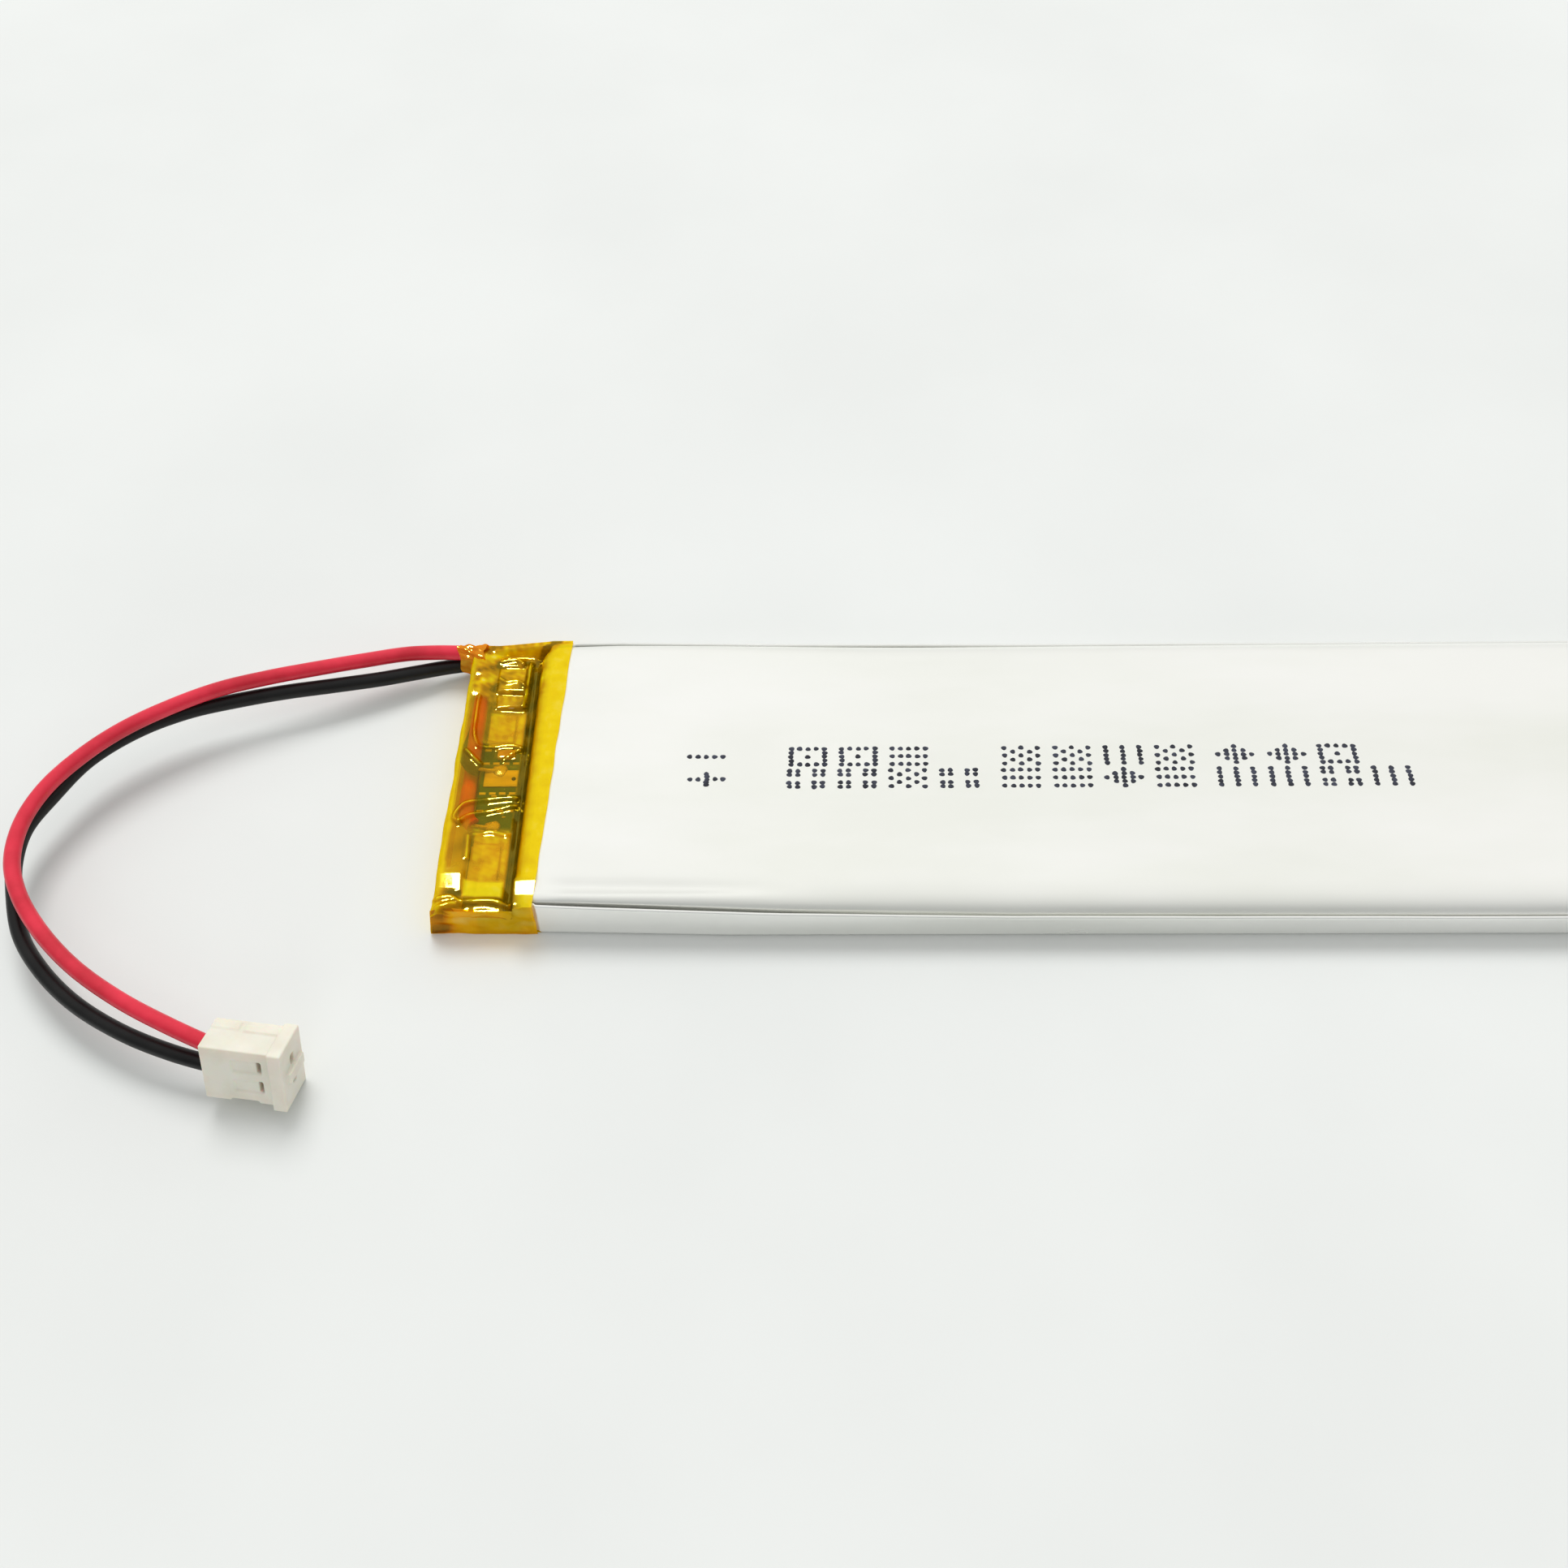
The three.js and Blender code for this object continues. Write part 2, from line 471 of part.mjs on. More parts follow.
const pieces = [
  ["pouch_cup", pouchCup(), "#dfe2de", 0.38, 0.75],
  ["pouch_cover", pouchCover(), "#cfd1cc", 0.4, 0.75],
  ["cathode_strip", windingBand(cathodeAt, ELECTRODE_T), "#2b2c2f", 0.8, 0.1],
  ["anode_strip", windingBand(anodeAt, ELECTRODE_T), "#3a3330", 0.8, 0.1],
  ["separator_inner", windingBand(separatorOneAt, SEPARATOR_T), "#f1f1ec", 0.6, 0],
  ["separator_outer", windingBand(separatorTwoAt, SEPARATOR_T), "#e9ebe6", 0.6, 0],
  ["roll_end_tape", box(-60, 70, -11, -3, rollTop + 0.01, rollTop + 0.06), "#4f8f4a", 0.45, 0],
  ["positive_tab", tab(POSITIVE_Y), "#c9cac8", 0.35, 0.9],
  ["negative_tab", tab(NEGATIVE_Y), "#b9b3a6", 0.35, 0.9],
  ["tab_film_positive", tabFilm(POSITIVE_Y), "#d8cfae", 0.5, 0],
  ["tab_film_negative", tabFilm(NEGATIVE_Y), "#d2c8a4", 0.5, 0],
  ["insulation_paper", box(TERRACE_X + 0.1, CUP_X - 0.35, -13.6, 13.6, 0.66, 0.8), "#8f9a86", 0.8, 0],
  ["board_pad", box(TERRACE_X + 0.3, CUP_X - 0.6, -13.2, 13.2, 0.82, BOARD_Z - GAP), "#f2f2ee", 0.9, 0],
  ["circuit_board", circuitBoard(), "#3f7d1f", 0.45, 0],
  ["nickel_strip_positive", strip(0.5, 3.6, 7.6), "#c2bfb2", 0.35, 0.9],
  ["nickel_strip_negative", strip(0.3, -11.4, -5.9), "#bdb9ab", 0.35, 0.9],
  ["output_pad", cut(
    box(BOARD_X + 0.4, BOARD_X + 3.4, -0.6, 1.9, STRIP_Z, STRIP_Z + 0.1),
    cylinder(0.2, 2, [BOARD_X + 2.9, 0, STRIP_Z]),
  ), "#c4c1b4", 0.35, 0.9],
  ["mosfet", chip(chipX - 0.1, 10.9, 2.5, 2.9, 1, 4), "#26272a", 0.5, 0],
  ["protection_ic", chip(chipX + 0.1, 8.5, 1.7, 1.4, 0.95, 3), "#2a2b2e", 0.5, 0],
  ["capacitor_far", chipPart(chipX, 13.2, 2, 0.9, 0.6), "#8a6a44", 0.5, 0.1],
  ["resistor_middle", chipPart(chipX + 0.2, 2.75, 1.7, 0.8, 0.5), "#3a3a3c", 0.5, 0.1],
  ["solder_joint_positive", solderJoint(BOARD_X + 1.75, -5), "#c8c9cb", 0.25, 0.9],
  ["solder_joint_negative", solderJoint(BOARD_X + 1.75, 1.15), "#c4c5c7", 0.25, 0.9],
  ["head_tape", headTape(), "#e0b400", 0.2, 0],
  ["end_tape", endTape(), "#d08a00", 0.25, 0],
  ["red_lead", tube(RED_ROUTE, LEAD_D, 30), "#c8203e", 0.4, 0],
  ["black_lead", tube(BLACK_ROUTE, LEAD_D, 30), "#1d1d1f", 0.4, 0],
  ["red_lead_inner", tube(RED_INNER, LEAD_D, 20), "#c4203c", 0.4, 0],
  ["black_lead_inner", tube(BLACK_INNER, LEAD_D, 20), "#1f1f21", 0.4, 0],
  ["red_lead_strands", cylinder(STRAND_D / 2, 1.2, [strandX, -5, strandZ], "x", 8), "#c9c4ba", 0.3, 0.9],
  ["black_lead_strands", tube(BLACK_STRANDS, THIN_STRAND_D, 14), "#cbc6bc", 0.3, 0.9],
  ["connector_housing", connectorHousing(), "#eeeee6", 0.45, 0],
  ["terminal_positive", terminal(-1), "#b8a878", 0.3, 0.9],
  ["terminal_negative", terminal(1), "#b4a474", 0.3, 0.9],
];

const cell = new THREE.Group();
cell.name = "pouch_cell";
for (const [name, shape, color, roughness, metalness] of pieces) {
  const mesh = new THREE.Mesh(shape, new THREE.MeshStandardMaterial({ color, roughness, metalness }));
  mesh.name = name;
  cell.add(mesh);
}

export default cell;
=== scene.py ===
"""Looks of the slim pouch cell: foil pouch, amber tape cap over the board, two leads and a plug.
Lengths in the tables are millimetres in the part's own frame; meshes are made in metres."""

import math

import bpy
import numpy as np
from mathutils import Matrix, Vector


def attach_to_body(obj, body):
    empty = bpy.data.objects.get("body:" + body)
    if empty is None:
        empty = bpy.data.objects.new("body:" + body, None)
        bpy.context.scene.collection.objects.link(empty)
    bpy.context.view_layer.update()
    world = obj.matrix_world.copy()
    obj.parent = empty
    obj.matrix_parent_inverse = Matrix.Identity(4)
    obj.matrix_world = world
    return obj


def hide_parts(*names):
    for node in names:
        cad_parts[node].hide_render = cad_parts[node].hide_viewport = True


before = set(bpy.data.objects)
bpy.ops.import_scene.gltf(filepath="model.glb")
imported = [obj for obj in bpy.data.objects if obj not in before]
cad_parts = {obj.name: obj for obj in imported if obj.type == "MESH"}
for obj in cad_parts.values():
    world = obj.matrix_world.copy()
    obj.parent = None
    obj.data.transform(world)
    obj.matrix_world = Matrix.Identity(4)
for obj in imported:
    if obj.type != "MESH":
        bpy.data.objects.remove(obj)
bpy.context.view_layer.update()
scene = bpy.context.scene
MM = 0.001


# ---- camera ------------------------------------------------------------------------------------
CAMERA_AT = (-46.025, -83.829, 121.131)
CAMERA_LENS, CAMERA_SENSOR = 37.27, 36


def make_camera():
    """The photo's camera, placed by fitting the cell's straight edges and the plug."""
    right = Vector((0.99957, 0.01205, -0.02681))
    up = Vector((0.00551, 0.81904, 0.57371))
    back = -Vector((-0.02887, 0.57361, -0.81862))
    data = bpy.data.cameras.new("camera")
    data.lens = CAMERA_LENS
    data.sensor_width = CAMERA_SENSOR
    data.clip_start = 0.005
    camera = bpy.data.objects.new("camera", data)
    scene.collection.objects.link(camera)
    turn = Matrix((right, up, back)).transposed().to_4x4()
    camera.matrix_world = Matrix.Translation(Vector(CAMERA_AT) * MM) @ turn
    scene.camera = camera


make_camera()


# ---- small helpers -----------------------------------------------------------------------------
WAVE_COUNT = 9


def waves(x, y, size, seed):
    """Smooth random relief of about unit height, with bumps about size across."""
    rng = np.random.RandomState(seed)
    total = np.zeros(np.broadcast(x, y).shape)
    for _ in range(WAVE_COUNT):
        angle, phase = rng.uniform(0, 2 * np.pi, 2)
        k = 2 * np.pi / (size * rng.uniform(1.2, 3.2))
        total += np.sin(k * (x * np.cos(angle) + y * np.sin(angle)) + phase)
    return total / math.sqrt(WAVE_COUNT)


def hump(t, centre, width):
    return np.exp(-(((t - centre) / width) ** 2))


def ease(t, a, b):
    """Smooth rise from 0 at a to 1 at b."""
    s = np.clip((t - a) / (b - a), 0, 1)
    return s * s * (3 - 2 * s)


def spline(points, per=12):
    """Centripetal Catmull-Rom line through the points."""
    p = np.array(points, float)
    p = np.vstack([2 * p[0] - p[1], p, 2 * p[-1] - p[-2]])
    out = []
    for i in range(1, len(p) - 2):
        q = p[i - 1 : i + 3]
        t = np.concatenate([[0], np.cumsum(np.sqrt(np.linalg.norm(np.diff(q, axis=0), axis=1)))])
        for s in np.linspace(t[1], t[2], per, endpoint=False):
            level = q
            for reach in (1, 2):
                level = [
                    ((t[k + reach] - s) * level[k] + (s - t[k]) * level[k + 1]) / (t[k + reach] - t[k])
                    for k in range(4 - reach)
                ]
            out.append(((t[2] - s) * level[0] + (s - t[1]) * level[1]) / (t[2] - t[1]))
    return np.vstack([out, p[-2]])


def mesh_object(name, verts, faces, material, smooth=True, nodes=()):
    mesh = bpy.data.meshes.new(name)
    mesh.from_pydata((np.asarray(verts) * MM).tolist(), [], faces)
    mesh.validate()
    mesh.update()
    if smooth:
        mesh.polygons.foreach_set("use_smooth", [True] * len(mesh.polygons))
    mesh.materials.append(material)
    obj = bpy.data.objects.new(name, mesh)
    scene.collection.objects.link(obj)
    return attach(obj, nodes)


def attach(obj, nodes):
    """Puts the piece on the part's one body, in place of the CAD nodes it stands for."""
    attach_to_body(obj, "root")
    if nodes:
        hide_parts(*nodes)
    return obj


def grid_faces(rows, columns, wrap=False, start=0):
    faces = []
    last = columns if wrap else columns - 1
    for i in range(rows - 1):
        for j in range(last):
            a = start + i * columns + j
            b = start + i * columns + (j + 1) % columns
            faces.append((a, b, b + columns, a + columns))
    return faces


def loft(rings):
    """Closed rings of equal length joined one to the next, closed at both ends: vertices and faces."""
    rings = np.asarray(rings)
    rows, columns = rings.shape[:2]
    faces = grid_faces(rows, columns, wrap=True)
    faces.append(tuple(range(columns))[::-1])
    faces.append(tuple(range((rows - 1) * columns, rows * columns)))
    return rings.reshape(-1, 3), faces


def sheets(name, grids, material, nodes=()):
    """One object from several open grids of points."""
    verts, faces = [], []
    for g in grids:
        faces += grid_faces(g.shape[0], g.shape[1], start=len(verts))
        verts += g.reshape(-1, 3).tolist()
    return mesh_object(name, verts, faces, material, nodes=nodes)


BOX_FACES = [(0, 1, 3, 2), (4, 6, 7, 5), (0, 4, 5, 1), (2, 3, 7, 6), (0, 2, 6, 4), (1, 5, 7, 3)]


def box_corners(x, y, z):
    return [(a, b, c) for a in x for b in y for c in z]


def slab(name, x, y, z, material, bevel, relief=0.0, nodes=()):
    """Box with rounded edges; relief roughens its shape by that many millimetres."""
    obj = mesh_object(name, box_corners(x, y, z), BOX_FACES, material, nodes=nodes)
    edge = obj.modifiers.new("edge", "BEVEL")
    edge.width = bevel * MM
    edge.segments = 3
    edge.limit_method = "NONE"
    if relief:
        fine = obj.modifiers.new("fine", "SUBSURF")
        fine.subdivision_type = "SIMPLE"
        fine.levels = fine.render_levels = 3
        texture = bpy.data.textures.new(name + "_relief", "CLOUDS")
        texture.noise_scale = 0.0012
        rough = obj.modifiers.new("rough", "DISPLACE")
        rough.texture = texture
        rough.texture_coords = "LOCAL"
        rough.strength = 2 * relief * MM  # half of it each way
        rough.mid_level = 0.5
    return obj


# ---- materials ---------------------------------------------------------------------------------
def node(tree, kind, **values):
    n = tree.nodes.new(kind)
    for key, value in values.items():
        name = key.replace("_", " ")
        if name in n.inputs:
            n.inputs[name].default_value = value
        else:
            setattr(n, key, value)
    return n


def noise(tree, scale, detail, stretch=(1, 1, 1)):
    """Noise whose blobs are about 1/scale metres; stretch lengthens them along an axis."""
    coords = tree.nodes.new("ShaderNodeTexCoord")
    mapping = tree.nodes.new("ShaderNodeMapping")
    mapping.inputs["Scale"].default_value = [scale / s for s in stretch]
    tree.links.new(coords.outputs["Object"], mapping.inputs["Vector"])
    n = node(tree, "ShaderNodeTexNoise", Scale=1.0, Detail=detail)
    tree.links.new(mapping.outputs["Vector"], n.inputs["Vector"])
    return n.outputs["Fac"]


def tones(tree, value, stops):
    """Colour ramp over several stops given as (position, colour)."""
    n = tree.nodes.new("ShaderNodeValToRGB")
    elements = n.color_ramp.elements
    while len(elements) < len(stops):
        elements.new(0.5)
    for element, (position, colour) in zip(elements, stops):
        element.position = position
        element.color = (*colour, 1)
    tree.links.new(value, n.inputs["Fac"])
    return n.outputs["Color"]


def ramp(tree, value, low, high, a, b):
    """Maps value from low..high to colour a..b (or greys)."""
    first, last = [(c, c, c) if isinstance(c, (int, float)) else c for c in (a, b)]
    return tones(tree, value, [(low, first), (high, last)])


def bump(tree, value, strength, distance):
    n = node(tree, "ShaderNodeBump", Strength=strength, Distance=distance * MM)
    tree.links.new(value, n.inputs["Height"])
    return n.outputs["Normal"]


def srgb(*levels):
    """Scene colour of three screen levels of 0 to 255."""
    shares = [level / 255 for level in levels]
    return tuple(s / 12.92 if s <= 0.04 else ((s + 0.055) / 1.055) ** 2.4 for s in shares)


def finish_material(
    name, dark, light, rough, blotch, metal=0.0, grain=4000, relief=0.01, stretch=(1, 1, 1), **extra,
):
    """Surface with mottled colour, uneven gloss and a fine grain."""
    m = bpy.data.materials.new(name)
    m.use_nodes = True
    t = m.node_tree
    shader = t.nodes["Principled BSDF"]
    shader.inputs["Metallic"].default_value = metal
    for key, value in extra.items():
        shader.inputs[key.replace("_", " ")].default_value = value
    colour = ramp(t, noise(t, blotch, 4, stretch), 0.35, 0.65, dark, light)
    t.links.new(colour, shader.inputs["Base Color"])
    gloss = ramp(t, noise(t, blotch * 2.3, 3, stretch), 0.3, 0.7, *rough)
    t.links.new(gloss, shader.inputs["Roughness"])
    t.links.new(bump(t, noise(t, grain, 3, stretch), 0.5, relief), shader.inputs["Normal"])
    return m


def varied(tree, attribute, scale, amount):
    """A value painted on the mesh, made uneven by noise."""
    painted = tree.nodes.new("ShaderNodeAttribute")
    painted.attribute_name = attribute
    sway = node(tree, "ShaderNodeMath", operation="MULTIPLY_ADD")
    tree.links.new(noise(tree, scale, 4), sway.inputs[0])
    sway.inputs[1].default_value = amount
    sway.inputs[2].default_value = -amount / 2
    total = node(tree, "ShaderNodeMath", operation="ADD")
    tree.links.new(painted.outputs["Fac"], total.inputs[0])
    tree.links.new(sway.outputs["Value"], total.inputs[1])
    return total.outputs["Value"]


SKIN_SHARE, SKIN_ROUGH, SKIN_TINT = 0.1, 0.06, (1.0, 0.82, 0.12, 1)


def tape_material(name, stops, tint):
    """Clear amber film: coloured see-through light, some body colour and a glossy skin."""
    m = bpy.data.materials.new(name)
    m.use_nodes = True
    t = m.node_tree
    body_shader = t.nodes["Principled BSDF"]
    body_shader.inputs["Specular IOR Level"].default_value = 0.0
    body_shader.inputs["Roughness"].default_value = 0.8
    t.links.new(tones(t, varied(t, "tone", 900, 0.22), stops), body_shader.inputs["Base Color"])
    clear = t.nodes.new("ShaderNodeBsdfTransparent")
    t.links.new(ramp(t, noise(t, 220, 2), 0.3, 0.7, *tint), clear.inputs["Color"])
    film = t.nodes.new("ShaderNodeMixShader")
    t.links.new(varied(t, "cover", 500, 0.15), film.inputs["Fac"])
    t.links.new(clear.outputs["BSDF"], film.inputs[1])
    t.links.new(body_shader.outputs["BSDF"], film.inputs[2])
    skin = node(t, "ShaderNodeBsdfGlossy", Color=SKIN_TINT)
    rough = ramp(t, noise(t, 900, 3), 0.3, 0.75, SKIN_ROUGH, SKIN_ROUGH * 2.2)
    t.links.new(rough, skin.inputs["Roughness"])
    t.links.new(bump(t, noise(t, 800, 3), 0.2, 0.05), skin.inputs["Normal"])
    mix = node(t, "ShaderNodeMixShader", Fac=SKIN_SHARE)
    t.links.new(film.outputs["Shader"], mix.inputs[1])
    t.links.new(skin.outputs["BSDF"], mix.inputs[2])
    t.links.new(mix.outputs["Shader"], t.nodes["Material Output"].inputs["Surface"])
    return m


FOIL = finish_material(
    "foil", srgb(246, 247, 240), srgb(254, 254, 250), rough=(0.33, 0.4), metal=0.72,
    blotch=90, grain=1800, relief=0.004, stretch=(3, 1, 1),
)
# Foil of the folded seals and the tail lip: less metallic than the top's foil and a little darker, the
# darker colour being painted shade.
FOIL_SIDE = finish_material(
    "foil_side", srgb(240, 241, 236), srgb(249, 249, 246), rough=(0.26, 0.34), metal=0.62,
    blotch=120, grain=2200, relief=0.005, stretch=(6, 1, 1),
)
INK = finish_material(
    "ink", srgb(22, 24, 36), srgb(56, 60, 76), rough=(0.4, 0.6), blotch=900, grain=6000,
)
# Amber ramp by tone: in the top tape its darkest stops give painted shade in hollows and its palest stop
# painted highlights on crease crests.
AMBER = [
    (0.0, srgb(58, 54, 6)), (0.25, srgb(132, 98, 0)), (0.5, srgb(206, 150, 0)),
    (0.8, srgb(250, 228, 0)), (1.0, srgb(255, 244, 130)),
]
AMBER_LAYERS = [
    (0.0, srgb(60, 36, 4)), (0.25, srgb(146, 84, 0)), (0.5, srgb(214, 138, 0)),
    (0.8, srgb(250, 200, 0)), (1.0, srgb(252, 230, 110)),
]
GATHER = [(0.0, srgb(120, 40, 0)), (0.5, srgb(220, 100, 4)), (1.0, srgb(244, 170, 40))]
TAPE_TOP = tape_material("tape", AMBER, (srgb(255, 210, 0), srgb(255, 224, 6)))
TAPE_DEEP = tape_material("tape_layers", AMBER_LAYERS, (srgb(248, 176, 0), srgb(255, 200, 0)))
TAPE_GATHER = tape_material("tape_gather", GATHER, (srgb(250, 150, 0), srgb(255, 170, 0)))
BOARD = finish_material(
    "board", srgb(30, 84, 18), srgb(52, 112, 26), rough=(0.35, 0.5), blotch=700, grain=5000,
)
PADS = finish_material(
    "pads", srgb(206, 202, 188), srgb(235, 232, 222), rough=(0.35, 0.5), metal=0.3, blotch=900,
)
NICKEL = finish_material(
    "nickel", srgb(206, 200, 186), srgb(238, 234, 222), rough=(0.3, 0.45), metal=0.35, blotch=900,
    stretch=(3, 1, 1),
)
PACKAGE = finish_material(
    "package", srgb(176, 160, 124), srgb(214, 196, 156), rough=(0.35, 0.5), blotch=900,
)
CERAMIC = finish_material(
    "ceramic", srgb(180, 150, 104), srgb(214, 184, 136), rough=(0.35, 0.5), blotch=1500,
)
SOLDER = finish_material(
    "solder", srgb(200, 200, 196), srgb(232, 232, 230), rough=(0.2, 0.35), metal=0.6, blotch=1500,
)
WHITE_PAD = finish_material(
    "foam", srgb(224, 223, 214), srgb(238, 237, 230), rough=(0.7, 0.9), blotch=900,
)
OLIVE_PAPER = finish_material(
    "barrier_paper", srgb(60, 56, 34), srgb(92, 86, 56), rough=(0.7, 0.9), blotch=900,
)
# dark electrode layers, and painted shade for the pad hole
DARK_LAYER_AND_HOLE_SHADE = finish_material(
    "layers", srgb(34, 34, 36), srgb(58, 54, 50), rough=(0.7, 0.9), blotch=300,
)
PLUG_WHITE = finish_material(
    "housing", srgb(222, 218, 202), srgb(232, 229, 216), rough=(0.38, 0.5), blotch=350, grain=2600,
    Subsurface_Weight=0.4, Subsurface_Scale=0.0015,
)
RED = finish_material(
    "red_insulation", srgb(196, 22, 46), srgb(226, 40, 66), rough=(0.32, 0.42), blotch=260,
    grain=2200,
)
BLACK = finish_material(
    "black_insulation", srgb(9, 9, 10), srgb(20, 20, 20), rough=(0.36, 0.46), blotch=300,
    grain=2200, Specular_IOR_Level=0.3,
)
CONTACT = finish_material(
    "contact", srgb(150, 146, 132), srgb(196, 190, 172), rough=(0.3, 0.42), metal=0.8, blotch=900,
)


# ---- leads -------------------------------------------------------------------------------------
RED_ROUTE = [
    (-80.35, 14.4, 2.9), (-83, 14.4, 3), (-86, 14.1, 3.2), (-90, 12.9, 3.7), (-94, 11.5, 4.3),
    (-98, 10.1, 4.8), (-102.3, 8.4, 5.2), (-106.3, 6.2, 5.4), (-110, 3.6, 5.5), (-113, 0.6, 5.5),
    (-115.3, -2.9, 5.5), (-116.4, -6.5, 5.4), (-116.2, -10.2, 5.3), (-114.8, -13.4, 5.2),
    (-112.1, -16.9, 5.1), (-108.3, -20.4, 5.1), (-103.6, -23.5, 5.1), (-99, -25.8, 4.95),
    (-95.08, -27.45, 4.53),
]
BLACK_ROUTE = [
    (-80.4, 14.3, 1.35), (-82.6, 13.8, 1.5), (-85.5, 12.8, 1.9), (-88.4, 11.8, 2.3),
    (-92.6, 10.6, 2.85), (-96.9, 9.5, 3.3), (-101.1, 8.3, 3.6), (-105.3, 6.9, 3.8), (-109.4, 4.7, 3.9),
    (-113.1, 1.4, 3.9), (-115.4, -2.5, 3.8), (-116.9, -5.9, 3.7), (-117, -9.2, 3.5),
    (-116.2, -12.3, 3.4), (-114.6, -16.3, 3.2), (-112, -19.6, 3.2), (-108.4, -22.7, 3.1),
    (-103.7, -25.4, 3.1), (-99.3, -27.1, 2.95), (-95.2, -28.2, 2.7),
]
RED_INNER = [
    (-79.85, 14.3, 2.9), (-79.2, 14, 2.8), (-78.7, 12.9, 2.6), (-78.55, 11, 2.5),
    (-78.5, 9, 2.5), (-78.5, 5, 2.5), (-78.6, 2.6, 2.0), (-78.7, 1.2, 1.4), (-78.7, 0, 1.4),
    (-78.6, -1, 1.9), (-78.5, -2.6, 2.3), (-78.4, -3.7, 2.3), (-78.1, -4.4, 2.3), (-77.7, -4.8, 2.25),
]
BLACK_INNER = [
    (-79.85, 14.3, 1.35), (-79.2, 14, 1.35), (-78.95, 12.9, 1.25), (-78.8, 10.5, 1.2),
    (-78.95, 6.4, 1.1), (-79.2, 4.6, 1.3), (-79.2, 3.1, 2.0), (-78.9, 2.0, 2.5), (-78.3, 1.3, 2.55),
    (-77.8, 1.15, 2.5),
]


LEAD_DIAMETER, STRAND_DIAMETER = 1.4, 0.34
RED_STRANDS = [(-77.8, -4.8, 2.3), (-76.9, -5, 2.3), (-76.0, -5, 2.25)]
BLACK_STRANDS = [(-77.9, 1.15, 2.5), (-76.9, 1.1, 2.35), (-76.0, 1.15, 2.3)]


def lead(name, route, material, nodes, diameter=LEAD_DIAMETER):
    """Round wire along a route: the object, the point where it starts and its length in metres."""
    line = spline(route) * MM
    data = bpy.data.curves.new(name, "CURVE")
    data.dimensions = "3D"
    path = data.splines.new("POLY")
    path.points.add(len(line) - 1)
    for point, at in zip(path.points, line):
        point.co = (*at, 1)
    path.use_smooth = True
    data.bevel_depth = diameter / 2 * MM
    data.bevel_resolution = 7
    data.use_fill_caps = True
    data.materials.append(material)
    obj = bpy.data.objects.new(name, data)
    scene.collection.objects.link(obj)
    attach(obj, nodes)
    length = float(np.linalg.norm(np.diff(line, axis=0), axis=1).sum())
    return obj, line[0], length


red, red_exit, red_length = lead("red_lead_cord", RED_ROUTE, RED, ["red_lead"])
black, black_exit, black_length = lead("black_lead_cord", BLACK_ROUTE, BLACK, ["black_lead"])
lead("red_lead_end", RED_INNER, RED, ["red_lead_inner"])
lead("black_lead_end", BLACK_INNER, BLACK, ["black_lead_inner"])
lead("red_strands", RED_STRANDS, SOLDER, ["red_lead_strands"], STRAND_DIAMETER)
lead("black_strands", BLACK_STRANDS, SOLDER, ["black_lead_strands"], STRAND_DIAMETER)


# ---- plug --------------------------------------------------------------------------------------
PLUG_AT, PLUG_ANGLES = (-95.65, -27.8, 3.6), (7, 1.4, 23)  # where the leads go in; degrees
PLUG_LENGTH, PLUG_HALF_WIDTH, PLUG_HALF_HEIGHT = 6.8, 2.65, 1.8
WAYS = (-1.0, 1.0)


def plug_pose():
    turn, dip, roll = (math.radians(a) for a in PLUG_ANGLES)
    return (
        Matrix.Translation(PLUG_AT)
        @ Matrix.Rotation(-turn, 4, "Z")
        @ Matrix.Rotation(dip, 4, "Y")
        @ Matrix.Rotation(-math.pi / 2 - roll, 4, "X")
    )


PLUG_POSE = plug_pose()


def bare_box(x, y, z):
    mesh = bpy.data.meshes.new("block")
    mesh.from_pydata(box_corners(x, y, z), [], BOX_FACES)
    obj = bpy.data.objects.new("block", mesh)
    scene.collection.objects.link(obj)
    return obj


def boolean(base, tool, operation):
    modifier = base.modifiers.new("cut", "BOOLEAN")
    modifier.object, modifier.operation, modifier.solver = tool, operation, "EXACT"
    with bpy.context.temp_override(object=base, active_object=base):
        bpy.ops.object.modifier_apply(modifier="cut")
    bpy.data.objects.remove(tool, do_unlink=True)


